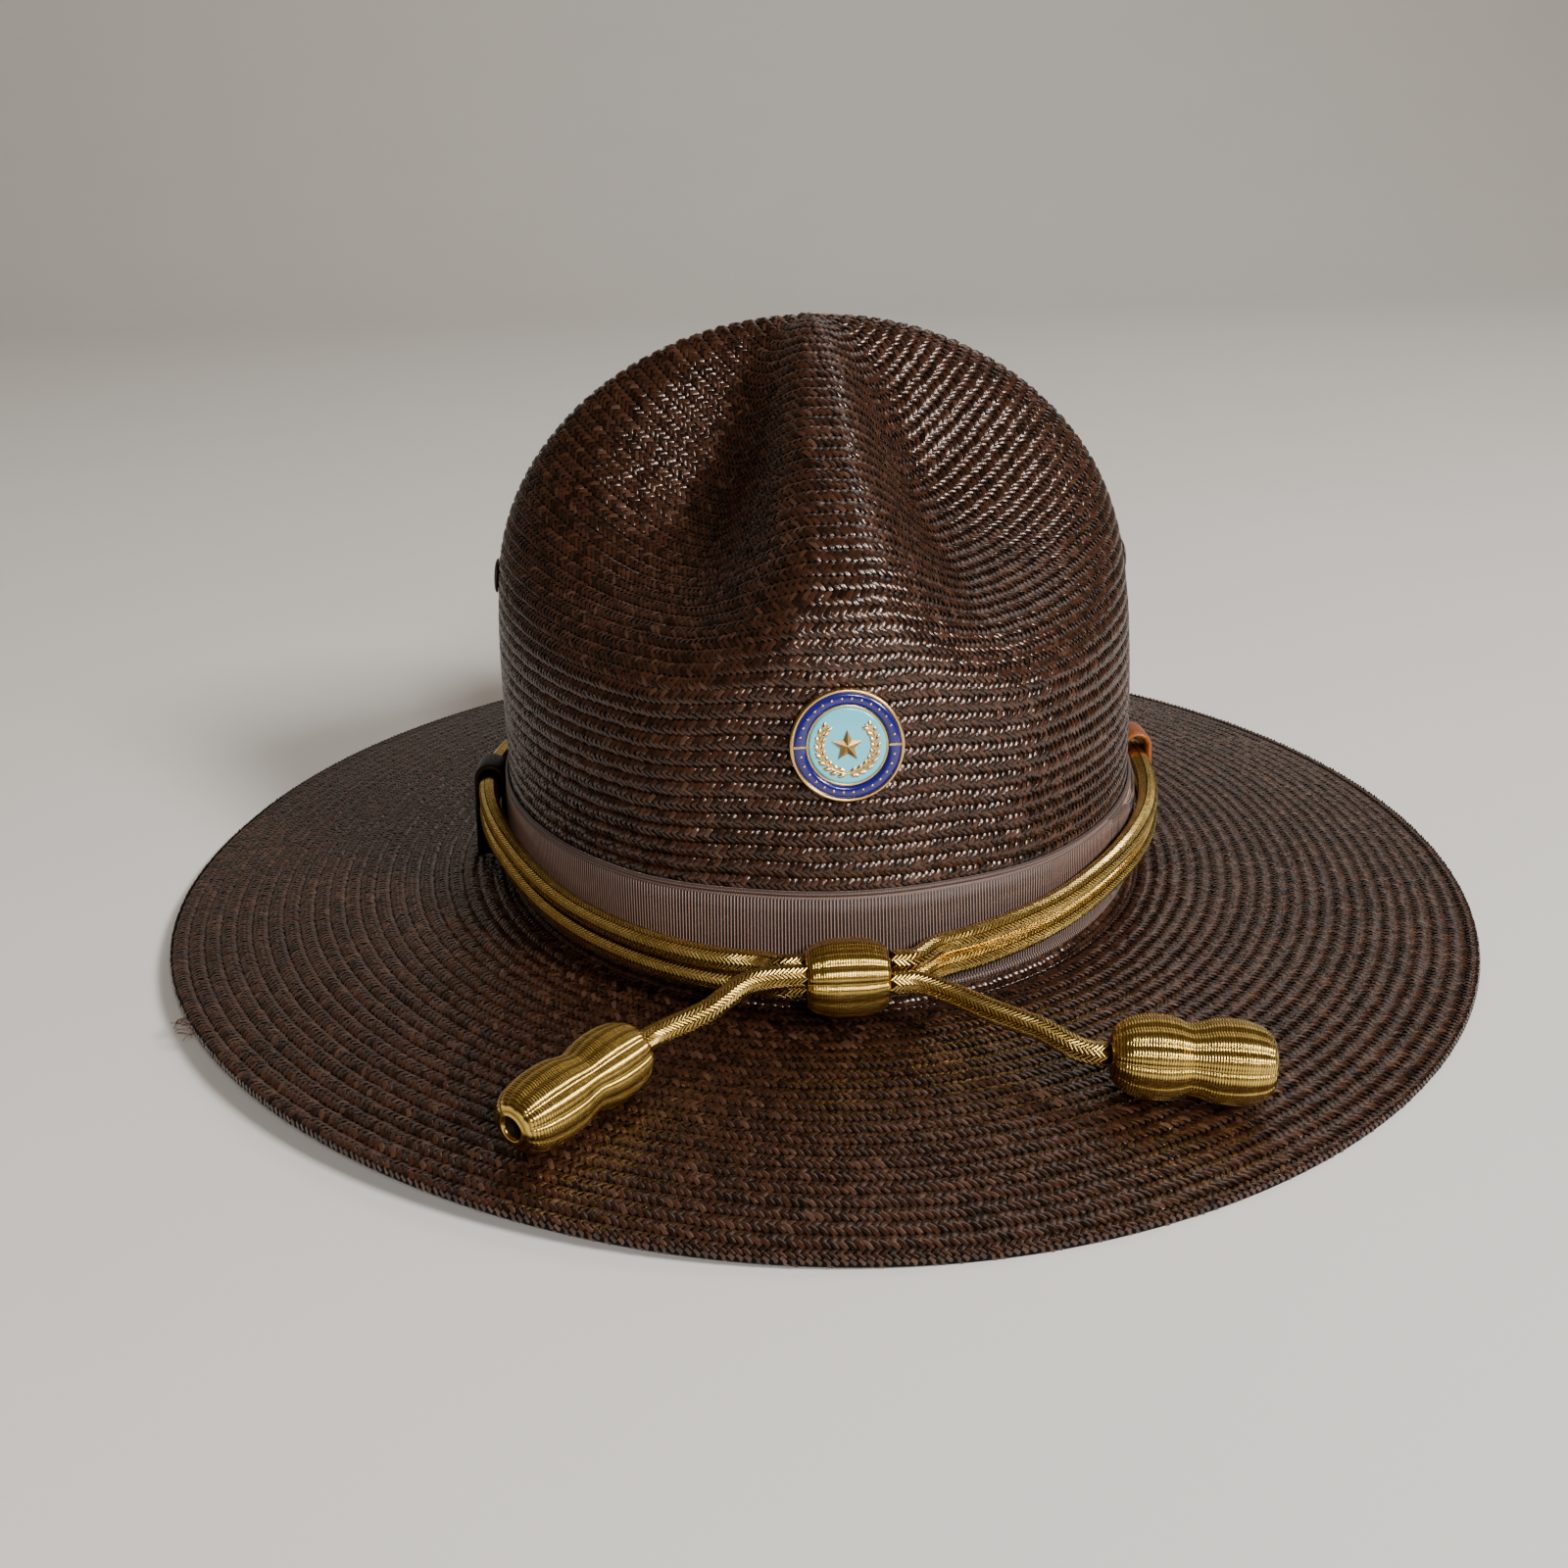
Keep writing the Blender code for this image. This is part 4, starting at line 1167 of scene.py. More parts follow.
@dataclass
class StrawBody:
    """Crown and brim: one braid sewn in a spiral, with every straw of its outside laid singly."""

    form: HatForm
    columns: int = 240
    crown_rows: int = 54
    brim_rows: int = 22
    braid_start: float = math.radians(-150.5)
    crowding: float = 0.18
    groove: float = 0.00045
    sink: float = 0.00036
    bed: float = 0.00018
    straw_spacing: float = 0.00155
    straw_height: float = 0.00031
    pitch: float = 0.0036
    hidden_below: float = 0.0235
    hole_radius: float = 0.0034
    slit_x: float = 0.0886
    slit_half: float = 0.0060
    slit_width: float = 0.0104
    eyelet_height: float = 0.0760
    level_height: float = 0.0620
    groove_power: float = 2.2
    bend_pull: float = 0.55
    rim_round: tuple = ((0.0003, 0.0007), (0.0004, 0.0012), (0.0001, 0.0018))
    inside_rings: tuple = (14, 44)
    flat_from: float = 0.96
    mean_reach: float = 0.09
    overlap: float = 1.12
    least_row: float = 0.12
    bend_rows: tuple = ((0.15, 1.0), (0.50, -1.0), (0.88, 1.0))
    bend_slant: float = 0.75
    bend_size: tuple = (0.0020, 0.0012)
    rim_size: tuple = (0.0023, 0.0011, 0.0003)
    fine: int = 1441

    def angle(self, turn: Array) -> Array:
        """Return the angle at a share of a turn round the hat, closer together at the ridges."""
        even = self.braid_start + 2.0 * math.pi * np.asarray(turn)
        return even + self.crowding * np.sin(2.0 * even)

    def surface(self, crown: bool, turn: Array, share: Array) -> Array:
        """Return points of the crown or the brim by turn and share."""
        angle = self.angle(turn)
        return self.form.crown_rows(angle, share) if crown else self.form.brim(angle, share)

    def normal(self, crown: bool, turn: Array, share: Array) -> Array:
        """Return the outward directions of the crown or the brim.

        Args:
            crown: Whether it is the crown, or else the brim.
            turn: Shares of a turn.
            share: Shares of the way from the tip or the foot outward.

        Returns:
            The directions.
        """
        step = 0.002
        low, high = np.clip(share - step, 0.0, 1.0), np.clip(share + step, 0.0, 1.0)
        down = self.surface(crown, turn, high) - self.surface(crown, turn, low)
        round_ = self.surface(crown, turn + step, share) - self.surface(crown, turn - step, share)
        return unit(np.cross(down, round_))

    @staticmethod
    def edges(rows: int, row: Array, turn: Array) -> tuple[Array, Array]:
        """Return the shares of a spiral row's two edges at a share of a turn."""
        return np.clip((row + turn) / rows, 0.0, 1.0), np.clip((row + 1.0 + turn) / rows, 0.0, 1.0)

    def _spiral(self, crown: bool, rows: int) -> tuple[Array, list]:
        """Build one spiral region, four lines a row.

        Args:
            crown: Whether it is the crown, or else the brim.
            rows: Number of braid rows.

        Returns:
            Points and faces.
        """
        columns = self.columns
        lines = np.arange(4 * (rows + 1) + 1)
        turn = np.arange(columns) / columns
        inner, outer = self.edges(rows, (lines // 4 - 1)[:, None], turn[None, :])
        part = (lines % 4 / 4.0)[:, None]
        share = inner + (outer - inner) * part
        turn = np.broadcast_to(turn, share.shape)
        full = np.clip((outer - inner) * rows, 0.0, 1.0)
        depth = self.sink + self.groove * (np.abs(2.0 * part - 1.0) ** self.groove_power) * full
        points = self.surface(crown, turn, share) - self.normal(crown, turn, share) * depth[..., None]
        last = len(lines) - 1
        faces = []
        for line in range(last):
            start = line * columns
            faces += between(start, start + columns, columns, ring=False)
            after, after_next = min(line + 4, last) * columns, min(line + 5, last) * columns
            faces.append((start + columns - 1, start + 2 * columns - 1, after_next, after))
        return points.reshape(-1, 3), faces

    def shell(self, finishes: list[Material]) -> Piece:
        """Build the shell: rows in relief outside, a rounded rim, and a smooth inside.

        Args:
            finishes: Materials of the outside and the inside.

        Returns:
            The piece.
        """
        columns = self.columns
        crown, faces = self._spiral(True, self.crown_rows)
        brim, brim_faces = self._spiral(False, self.brim_rows)
        faces += [tuple(len(crown) + i for i in face) for face in brim_faces]
        points = [crown, brim]

        def ring(values: Array, previous: int) -> int:
            """Join a ring of points to an earlier one and return the number of its first."""
            first = sum(map(len, points))
            points.append(values)
            faces.extend(between(previous, first, columns))
            return first

        turn = np.arange(columns) / columns
        foot, start = crown[-columns:], brim[:columns]
        corner = np.stack((foot[:, 0], foot[:, 1], start[:, 2]), axis=1)
        bend = ring(corner + (0.5 * (foot + start) - corner) * self.bend_pull, len(crown) - columns)
        faces += between(bend, len(crown), columns)
        outside = len(faces)
        edge = self.surface(False, turn, np.ones(columns))
        out = unit(edge * LEVEL)
        previous = len(crown) + len(brim) - columns
        for push, depth in self.rim_round:
            previous = ring(edge + out * push - UP * depth, previous)
        inside = len(faces)
        shares = [(False, share) for share in np.linspace(1.0, 0.0, self.inside_rings[0])]
        shares += [(True, share) for share in np.linspace(1.0, 0.02, self.inside_rings[1])]
        for is_crown, share in shares:
            level = np.full(columns, share)
            place = self.surface(is_crown, turn, level) - self.normal(is_crown, turn, level) * self.form.wall
            if not is_crown and share > self.flat_from:
                place[:, 2] = self.surface(False, turn, level)[:, 2] - self.form.wall
            previous = ring(place, previous)
        tip = sum(map(len, points))
        points.append(UP[None] * (self.form.foot_z + self.form.height - self.form.wall))
        faces += [(previous + i, tip, previous + (i + 1) % columns) for i in range(columns)]
        points = np.concatenate(points)
        slots = np.arange(len(faces)) >= inside
        uvs = self._uvs(points, faces, outside)
        return make_piece("straw_shell", points, faces, finishes, uvs, slots, outward=False)

    def _uvs(self, points: Array, faces: list, plain: int) -> Array:
        """Spread straws along the rows and rows from the tip outward.

        Args:
            points: Points of the shell.
            faces: Its faces.
            plain: Number of faces, from the first, that need no UV.

        Returns:
            A UV for each face corner.
        """
        uvs = []
        tip_z = self.form.foot_z + self.form.height
        for index, face in enumerate(faces):
            if index < plain:
                uvs.extend([(0.0, 0.0)] * len(face))
                continue
            corners = points[list(face)]
            turns = np.arctan2(corners[:, 1], corners[:, 0]) / (2.0 * math.pi)
            turns = np.where(turns - turns[0] > 0.5, turns - 1.0, turns)
            turns = np.where(turns - turns[0] < -0.5, turns + 1.0, turns)
            reach = np.hypot(corners[:, 0], corners[:, 1])
            steps = (tip_z - corners[:, 2] + reach) / self.pitch
            lengthwise = turns * 2.0 * math.pi * self.mean_reach / self.straw_spacing
            uvs.extend(zip(lengthwise.tolist(), (steps + turns).tolist()))
        return np.array(uvs)

    def straws(self, crown: bool, lean: Lean) -> tuple[Array, ...]:
        """Place the straws of one half of every row.

        Args:
            crown: Whether they lie on the crown, or else on the brim.
            lean: Half of the row, with its straws' slant and width.

        Returns:
            Places, outward directions, lengthwise directions and sizes.
        """
        rows = self.crown_rows if crown else self.brim_rows
        part, reach_along, reach_across, width, tilt = lean.value
        row = np.arange(-1, rows)[:, None]
        turn = np.broadcast_to(np.arange(self.columns) / self.columns, (rows + 1, self.columns))
        inner, outer = self.edges(rows, row, turn)
        share = (inner + (outer - inner) * part).ravel()
        turn = turn.ravel()
        place = self.surface(crown, turn, share)
        out = self.normal(crown, turn, share)
        across = self.surface(crown, turn, outer.ravel()) - self.surface(crown, turn, inner.ravel())
        full = ((outer - inner) * rows).ravel()
        along = unit(np.gradient(place, axis=0))
        arc = arc_lengths(place)
        stations = np.arange(0.0, arc[-1], self.straw_spacing)
        place, out, along, across = (sample(stations, arc, values) for values in (place, out, along, across))
        out, along = unit(out), unit(along)
        full = np.interp(stations, arc, full)
        length = along * reach_along * 0.001 + across * reach_across
        long = np.linalg.norm(length, axis=1) * self.overlap
        wide = width * 0.001 * np.clip(np.linalg.norm(across, axis=1) / self.pitch, 0.35, 1.1)
        size = np.stack((long, wide, np.full(len(stations), self.straw_height)), axis=1)
        keep = (full > self.least_row) & self._shown(crown, place)
        place = place - out * self.bed
        out = unit(out + unit(across) * tilt)
        return place[keep], out[keep], unit(length)[keep], size[keep]

    def _shown(self, crown: bool, place: Array) -> Array:
        """Tell which places are neither under the ribbon nor in a hole.

        Args:
            crown: Whether they are on the crown, or else on the brim.
            place: The places.

        Returns:
            True or false for each.
        """
        x, y, z = place.T
        if crown:
            z = z - self.form.foot_z
            return (z > self.hidden_below) & (np.hypot(y, z - self.eyelet_height) >= self.hole_radius)
        return (np.abs(np.abs(x) - self.slit_x) >= 0.5 * self.slit_width) | (np.abs(y) >= self.slit_half)

    def build(self, finish: StrawFinish) -> None:
        """Build and dress the shell and its straws.

        Args:
            finish: The straw's finish.
        """
        dress(self.shell([finish.ground(), finish.plain_side()]), "straw", "straw_body")
        shape = Splint().straw()
        scatter = Scatter("straw_laying", shape, finish.splints(), 11, 0.13)
        for crown, label in ((True, "crown"), (False, "brim")):
            for lean in Lean:
                laid = self.straws(crown, lean)
                upper = laid[0][:, 2] > (self.form.foot_z + self.level_height if crown else -1.0)
                for level, chosen in (("a", upper), ("b", ~upper)):
                    if chosen.any():
                        name = f"straw_{label}_{lean.name.lower()}_{level}"
                        piece = scatter.lay(name, *(values[chosen] for values in laid))
                        dress(piece, "straw", "straw_body")
        dress(scatter.lay("straw_rim_edge", *self._rim_straws()), "straw", "straw_body")
        dress(scatter.lay("straw_foot_bend", *self._foot_straws()), "straw", "straw_body")
        bpy.data.objects.remove(shape)

    def _foot_straws(self) -> tuple[Array, ...]:
        """Place the straws in the bend between crown and brim.

        Returns:
            Places, tops, lengthways directions and sizes.
        """
        turn = np.linspace(0.0, 1.0, self.fine)
        foot = self.surface(True, turn, np.ones(self.fine))
        start = self.surface(False, turn, np.zeros(self.fine))
        corner = np.stack((foot[:, 0], foot[:, 1], start[:, 2]), axis=1)
        laid = []
        for share, lean in self.bend_rows:
            line = (1 - share) ** 2 * foot + 2 * share * (1 - share) * corner + share**2 * start
            arc = arc_lengths(line)
            place = sample(np.arange(0.0, arc[-1], self.straw_spacing), arc, line)
            level = unit(place * LEVEL)
            out = unit(level * (1.0 - share) + UP * share)
            along = unit(np.cross(UP, level))
            slant = unit(along + np.cross(out, along) * self.bend_slant * lean)
            size = np.tile((*self.bend_size, self.straw_height), (len(place), 1))
            laid.append((place, out, slant, size))
        return tuple(np.concatenate(group) for group in zip(*laid))

    def _rim_straws(self) -> tuple[Array, ...]:
        """Place the straws that wrap the rim's edge.

        Returns:
            Places, tops, lengthways directions and sizes.
        """
        fine = np.linspace(0.0, 1.0, self.fine)
        arc = arc_lengths(self.surface(False, fine, np.ones(self.fine)))
        count = int(arc[-1] / self.straw_spacing)
        turn = np.interp(np.arange(count) * arc[-1] / count, arc, fine)
        edge = self.surface(False, turn, np.ones(count))
        out = unit(edge * LEVEL)
        slant = unit(unit(np.cross(UP, out)) * 0.80 - UP * 0.60)
        place = edge + out * 0.00020 - UP * 0.0010
        return place, out, slant, np.tile(self.rim_size, (count, 1))


# Ribbon


@dataclass
class RibbonBand:
    """Ribbed ribbon round the crown's foot, with a corded edge at its top and bottom."""

    form: HatForm
    width: float = 0.0245
    thickness: float = 0.0006
    ribs: int = 752
    rib_height: float = 0.00018

    @property
    def low(self) -> float:
        """Return the height of the ribbon's lower edge above the foot plane."""
        return self.form.fillet + self.form.gap

    def build(self, finish: Material) -> None:
        """Build and dress the ribbon.

        Args:
            finish: Material.
        """
        columns = 4 * self.ribs
        turn = np.arange(columns) / columns
        fine = FRONT + np.linspace(0.0, 2.0 * math.pi, 721)
        arc = arc_lengths(self.form.wall_points(fine, 0.5 * self.width)[0])
        angle = np.interp(turn * arc[-1], arc, fine)
        wave = 0.5 - 0.5 * np.cos(2.0 * math.pi * turn * self.ribs)
        share, proud, edge = np.array(BAND_SECTION).T
        heights = self.low + self.width * share
        relief = self.rib_height * wave[None] * proud[:, None] * (1.0 - 0.5 * edge[:, None])
        base = self.form.gap + self.thickness * proud[:, None] + relief
        base[[0, -1]] = self.form.gap
        points = self.form.wall_points(angle, heights) + self.form.outward(angle)[None] * base[..., None]
        rib = np.arange(columns + 1) * self.ribs / columns - 0.25
        low = (heights - self.low) / self.width
        high = np.roll(low, -1)
        u = np.stack((rib[:-1], rib[:-1], rib[1:], rib[1:]), axis=1)[None]
        v = np.stack((low, high, high, low), axis=1)[:, None]
        uvs = np.stack(np.broadcast_arrays(u, v), axis=-1)
        faces = strip_faces(len(heights), columns, loop=True)
        dress(make_piece("ribbon_band", points, faces, [finish], uvs), "ribbon", "hat_band")


@dataclass
class RibbonBow:
    """Flat bow on the wearer's left: a sheet with cut ends, two pinched ones over it and a wrap."""

    form: HatForm
    front: float = math.radians(-38.0)
    back: float = math.radians(-9.0)
    height: float = 0.0225
    ribs_per_metre: float = 1290.0
    sheet: float = 0.00034
    reach: float = 0.0885
    half_band: float = 0.01225
    half_wrap: float = 0.045
    grid: tuple = (7, 260)
    wrap_columns: int = 22
    pinch: float = 0.30
    pinch_span: float = 0.16
    fold: float = 0.035
    puff: float = 0.00025
    relief: float = 0.00010

    @property
    def centre(self) -> float:
        """Return the height of the bow's middle above the foot plane."""
        return self.form.fillet + self.form.gap + self.half_band

    def build(self, finish: Material) -> None:
        """Build and dress the bow.

        Args:
            finish: Material.
        """
        sheets = [self._layer(*layer, finish) for layer in BOW_LAYERS]
        dress(join("ribbon_bow", [*sheets, self._wrap(finish)]), "ribbon", "band_bow")

    def _layer(
        self, name: str, start: float, end: float, off: float, tall: float, waist: float, finish: Material
    ) -> Piece:
        """Build one sheet of the bow, pinched in the middle.

        Args:
            name: Piece name.
            start: Angle of its front end, from the bow's.
            end: Angle of its back end, from the bow's.
            off: Distance from the crown's wall.
            tall: Share of the bow's height.
            waist: How much it narrows in the middle.
            finish: Material.

        Returns:
            The sheet.
        """
        rows, columns = self.grid
        start, end = self.front + start, self.back + end
        share = np.linspace(0.0, 1.0, columns)
        angle = start + (end - start) * share
        pinch = 1.0 - self.pinch * waist * np.exp(-(((share - 0.5) / self.pinch_span) ** 2))
        up = np.linspace(-0.5, 0.5, rows)
        fold = np.minimum(1.0, np.minimum(share, 1.0 - share) / self.fold)
        puff = self.puff * waist * np.sin(math.pi * np.clip(share * 2.0 % 1.0, 0.0, 1.0)) ** 2
        rib = share * (end - start) * self.reach * self.ribs_per_metre
        lift = off + puff + self.relief * (0.5 - 0.5 * np.cos(2.0 * math.pi * rib))
        half = self.sheet * 0.5
        crown = half * np.sqrt(np.clip(fold, 0.05, 1.0))
        top, under = np.empty((2, rows, columns, 3))
        for i in range(columns):
            wall = self.form.wall_points(angle[i], self.centre + up * self.height * tall * pinch[i])[:, 0]
            out = self.form.outward(angle[i])
            top[:, i] = wall + out * (lift[i] - half + crown[i])
            under[:, i] = wall + out * (lift[i] - half - crown[i])
        tall_share = np.concatenate((up, up[::-1])) + 0.5
        return closed_sheet(name, top, under, (rib - 0.25, tall_share[:, None]), finish)

    def _wrap(self, finish: Material) -> Piece:
        """Build the strip that wraps the bow's middle.

        Args:
            finish: Material.

        Returns:
            The piece.
        """
        columns, base = self.wrap_columns, WRAP_SECTION[0][1]
        middle = 0.5 * (self.front + self.back)
        angles = np.linspace(middle - self.half_wrap, middle + self.half_wrap, columns)
        rise, lift = np.array(WRAP_SECTION).T
        edge = np.sqrt(np.clip(1.0 - np.abs(np.linspace(-1.0, 1.0, columns)) ** 6, 0.0, 1.0))
        wall = self.form.wall_points(angles, self.centre + 0.5 * self.height * rise)
        out = self.form.outward(angles)[None]
        top = wall + out * (base + (lift[:, None] - base) * (0.72 + 0.28 * edge[None]))[..., None]
        uv = (np.linspace(0.0, 20.0, 2 * len(rise))[:, None], np.arange(columns) / columns)
        return closed_sheet("bow_wrap", top, wall + out * base, uv, finish)


# Side straps and eyelets


@dataclass
class StrapLoop:
    """Leather loop that passes through two slits in the brim and over the cord."""

    form: HatForm
    side: Side
    height: float
    width: float = 0.0106
    thickness: float = 0.0016
    span: float = 0.0070
    band_thickness: float = 0.0006
    band_width: float = 0.0245

    def centreline(self) -> Array:
        """Find the loop's middle line.

        Returns:
            Rows of distance from the hat's middle plane and height.
        """
        form = self.form
        half = 0.5 * self.thickness
        low = form.fillet + form.gap
        clear = 2.0 * form.gap + self.band_thickness
        wall = np.abs(form.wall_points(self.side.angle, (low, low + self.band_width))[:, 0, 0])
        wall = wall + clear + half
        lean = (wall[1] - wall[0]) / self.band_width
        radius = 0.5 * self.span
        under = -form.wall - form.gap - half
        crest = self.height - half - radius

        def leg(rise: float) -> float:
            """Return the inner leg's distance at a height."""
            return wall[0] + lean * (rise - low)

        path = [(leg(0.0), under + radius * 0.2), (leg(0.0), 0.0), (leg(low), low)]
        path += [(leg(rise), rise) for rise in np.linspace(low, crest, 5)[1:]]
        for step in range(1, 24):
            swing = math.pi * (1.0 - step / 24.0)
            path.append((leg(crest) + radius * (1.0 + math.cos(swing)), crest + radius * math.sin(swing)))
        path += [(leg(rise) + self.span, rise) for rise in (*np.linspace(crest, low, 5), 0.0)]
        path += [(leg(0.0) + self.span, under + radius * 0.2)]
        path += [(leg(0.0) + self.span * share, under - half * 0.2) for share in (0.9, 0.5, 0.1)]
        return np.array(path)

    def build(self, finish: Material) -> None:
        """Build and dress the loop.

        Args:
            finish: Material.
        """
        path = self.centreline()
        ahead = np.roll(path, -1, axis=0) - np.roll(path, 1, axis=0)
        normal = np.stack((-ahead[:, 1], ahead[:, 0]), axis=1) / np.linalg.norm(ahead, axis=1)[:, None]
        half = 0.5 * self.thickness
        rings = []
        for out, across in STRAP_SECTION:
            line = path + normal * half * out * 0.98
            y = np.full(len(path), 0.5 * self.width * across)
            rings.append(np.stack((self.side.value * line[:, 0], y, self.form.foot_z + line[:, 1]), axis=1))
        faces = strip_faces(len(rings), len(path), loop=True)
        piece = make_piece("strap_" + self.side.label, np.concatenate(rings), faces, [finish])
        across = np.abs(np.array([vertex.co.y for vertex in piece.data.vertices])) / (0.5 * self.width)
        set_tone(piece, np.clip((across - 0.80) / 0.2, 0.0, 1.0))
        dress(piece, "leather", "strap_loop_" + self.side.label)


@dataclass
class Eyelet:
    """Painted vent eyelet in the crown's side."""

    form: HatForm
    side: Side
    height: float = 0.0760
    diameter: float = 0.0090
    flange: float = 0.0008
    bore: float = 0.0040
    barrel_wall: float = 0.0010
    inside_gap: float = 0.0008

    def build(self, finish: Material) -> None:
        """Build and dress the eyelet.

        Args:
            finish: Material.
        """
        bore, flange = 0.5 * self.bore, 0.5 * self.diameter
        barrel = bore + self.barrel_wall
        outer, inner = self.form.gap, -self.form.wall - self.inside_gap
        profile = [
            (outer + 0.25 * self.flange, bore * 0.97), (outer + 0.75 * self.flange, bore * 1.04),
            (outer + self.flange, bore * 1.22), (outer + self.flange, 0.62 * flange),
            (outer + 0.85 * self.flange, 0.80 * flange), (outer + 0.5 * self.flange, 0.95 * flange),
            (outer + 0.15 * self.flange, flange), (outer, 0.97 * flange), (outer, barrel), (inner, barrel),
            (inner, 0.9 * flange), (inner - 0.5 * self.flange, 0.92 * flange),
            (inner - self.flange, 0.8 * flange), (inner - self.flange, bore * 1.1), (inner, bore),
        ]
        frame = self.form.wall_frame(self.side.angle, self.height, 0.0)
        shape = turned(profile, 48, frame, loop=True)
        piece = make_piece("eyelet_ring_" + self.side.label, *shape, [finish])
        dress(piece, "eyelet_enamel", "eyelet_" + self.side.label)


# Badge


@dataclass
class Badge:
    """Round badge: gold plate, navy ring with beads, light blue disc, and a gold star in a wreath."""

    form: HatForm
    diameter: float = 0.0247
    height: float = 0.0594
    base: float = 0.0008
    depth: float = 0.0020
    rim: float = 0.0008
    centre: float = 0.0166
    cloison: float = 0.0006
    enamel: float = 0.0008
    star_radius: float = 0.0036
    star_waist: float = 0.0016
    wreath_radius: float = 0.0060
    wreath_width: float = 0.0017
    post: float = 0.0020
    clutch: float = 0.0100
    clutch_depth: float = 0.0015
    soft: float = 0.00016
    play: float = 0.00003
    seat: float = 0.0001
    dome: float = 0.00012
    inside_gap: float = 0.0008
    groove: float = 0.0005
    crest: float = 0.0004
    sink: float = 0.00005
    bar_height: float = 0.0005
    bar_width: float = 0.00042
    bead_size: tuple = (0.00032, 0.00032, 0.00022)
    leaf_size: tuple = (0.0019, 0.00085, 0.00055)
    star_edge: float = 0.0003
    star_height: float = 0.00085
    stem_radius: float = 0.00026
    frame: Matrix = field(init=False)

    def __post_init__(self) -> None:
        """Place the badge on the crown's front."""
        self.frame = self.form.wall_frame(FRONT, self.height, self.form.gap)

    @property
    def enamel_top(self) -> float:
        """Return the height of the enamel over the plate's back."""
        return self.base + self.form.gap + self.enamel

    def build(self, gold: Material, navy: Material, blue: Material) -> None:
        """Build and dress the badge's four pieces.

        Args:
            gold: Material of the plate, the star and the wreath.
            navy: Material of the ring.
            blue: Material of the disc.
        """
        dress(self._plate(gold), "gold_plate", "badge_back")
        dress(self._disc("badge_navy", self._ring_profile(), navy, True), "navy_enamel", "badge_ring")
        dress(self._disc("badge_blue", self._centre_profile(), blue, False), "blue_enamel", "badge_centre")
        dress(self._emblem(gold), "gold_plate", "badge_emblem")

    def _ring_profile(self) -> list[tuple[float, float]]:
        """Draw the navy ring's section, slightly domed.

        Returns:
            Its (along, radius) pairs.
        """
        outer = 0.5 * self.diameter - self.rim - self.play
        inner = 0.5 * self.centre + self.cloison + self.play
        low, high = self.base + self.seat, self.enamel_top
        middle = 0.5 * (outer + inner)
        return [
            (low, inner), (high - self.dome, inner), (high, 0.5 * (inner + middle)),
            (high + self.play, middle), (high, 0.5 * (outer + middle)), (high - self.dome, outer),
            (low, outer),
        ]

    def _centre_profile(self) -> list[tuple[float, float]]:
        """Draw the blue disc's section, slightly domed.

        Returns:
            Its (along, radius) pairs.
        """
        radius = 0.5 * self.centre - self.play
        low, high = self.base + self.seat, self.enamel_top
        dome = [(high - self.dome * (share**6), radius * share) for share in (1.0, 0.94, 0.8, 0.5, 0.25, 0.0)]
        return [(low, 0.0), (low, radius), *dome]

    def _disc(self, name: str, profile: list, finish: Material, loop: bool) -> Piece:
        """Build a turned piece of enamel."""
        return make_piece(name, *turned(profile, 128, self.frame, loop=loop), [finish])

    def _plate(self, gold: Material) -> Piece:
        """Build the plate with its rims, bars, beads, post and clutch.

        Args:
            gold: Material.

        Returns:
            The piece.
        """
        top, soft, rim = self.depth, self.soft, 0.5 * self.diameter
        edge, ring = rim - self.rim, 0.5 * self.centre + self.cloison
        wall, crest, groove = ring - self.cloison, top - self.crest, top - self.groove
        post, clutch = 0.5 * self.post, 0.5 * self.clutch
        inner = -self.form.gap - self.form.wall - self.inside_gap
        end = inner - self.clutch_depth
        profile = [
            (self.base, 0.0), (self.base, wall), (groove, wall), (crest, ring - 0.75 * self.cloison),
            (crest, ring - 0.25 * self.cloison), (groove, ring), (self.base, ring), (self.base, edge),
            (top - soft, edge), (top, edge + soft), (top, rim - 2.0 * soft), (top - soft, rim - 0.5 * soft),
            (0.5 * top, rim), (soft, rim - 0.3 * soft), (0.0, rim - soft), (0.0, post), (inner, post),
            (inner, clutch), (inner - 0.4 * self.clutch_depth, clutch), (end, 0.85 * clutch), (end, 0.0),
        ]
        parts = [make_piece("badge_gold_plate", *turned(profile, 128, self.frame), [gold])]
        middle = 0.5 * (edge + ring)
        size = Matrix.Diagonal((self.bar_height, edge - ring, self.bar_width, 1.0))
        for side in Side:
            bar, mesh = bmesh.new(), bpy.data.meshes.new("badge_bar")
            place = Matrix.Translation((self.enamel_top - self.sink, side.value * middle, 0.0))
            bmesh.ops.create_cube(bar, size=1.0, matrix=self.frame @ place @ size)
            bar.to_mesh(mesh)
            bar.free()
            mesh.materials.append(gold)
            parts.append(show("badge_bar", mesh))
        bead = Splint().bead()
        angles = [math.radians(a) for a in np.arange(12.0, 169.0, 12.0)]
        angles += [-a for a in angles]
        spots = [(self.enamel_top, middle * math.cos(a), middle * math.sin(a)) for a in angles]
        axes = np.array(self.frame)[:3, :3].T
        ways = (np.tile(row, (len(spots), 1)) for row in (axes[0], axes[1], self.bead_size))
        scatter = Scatter("bead_laying", bead, gold, 3, 0.0)
        parts.append(scatter.lay("badge_beads", to_world(spots, self.frame), *ways))
        bpy.data.objects.remove(bead)
        return join("badge_gold_plate", parts)

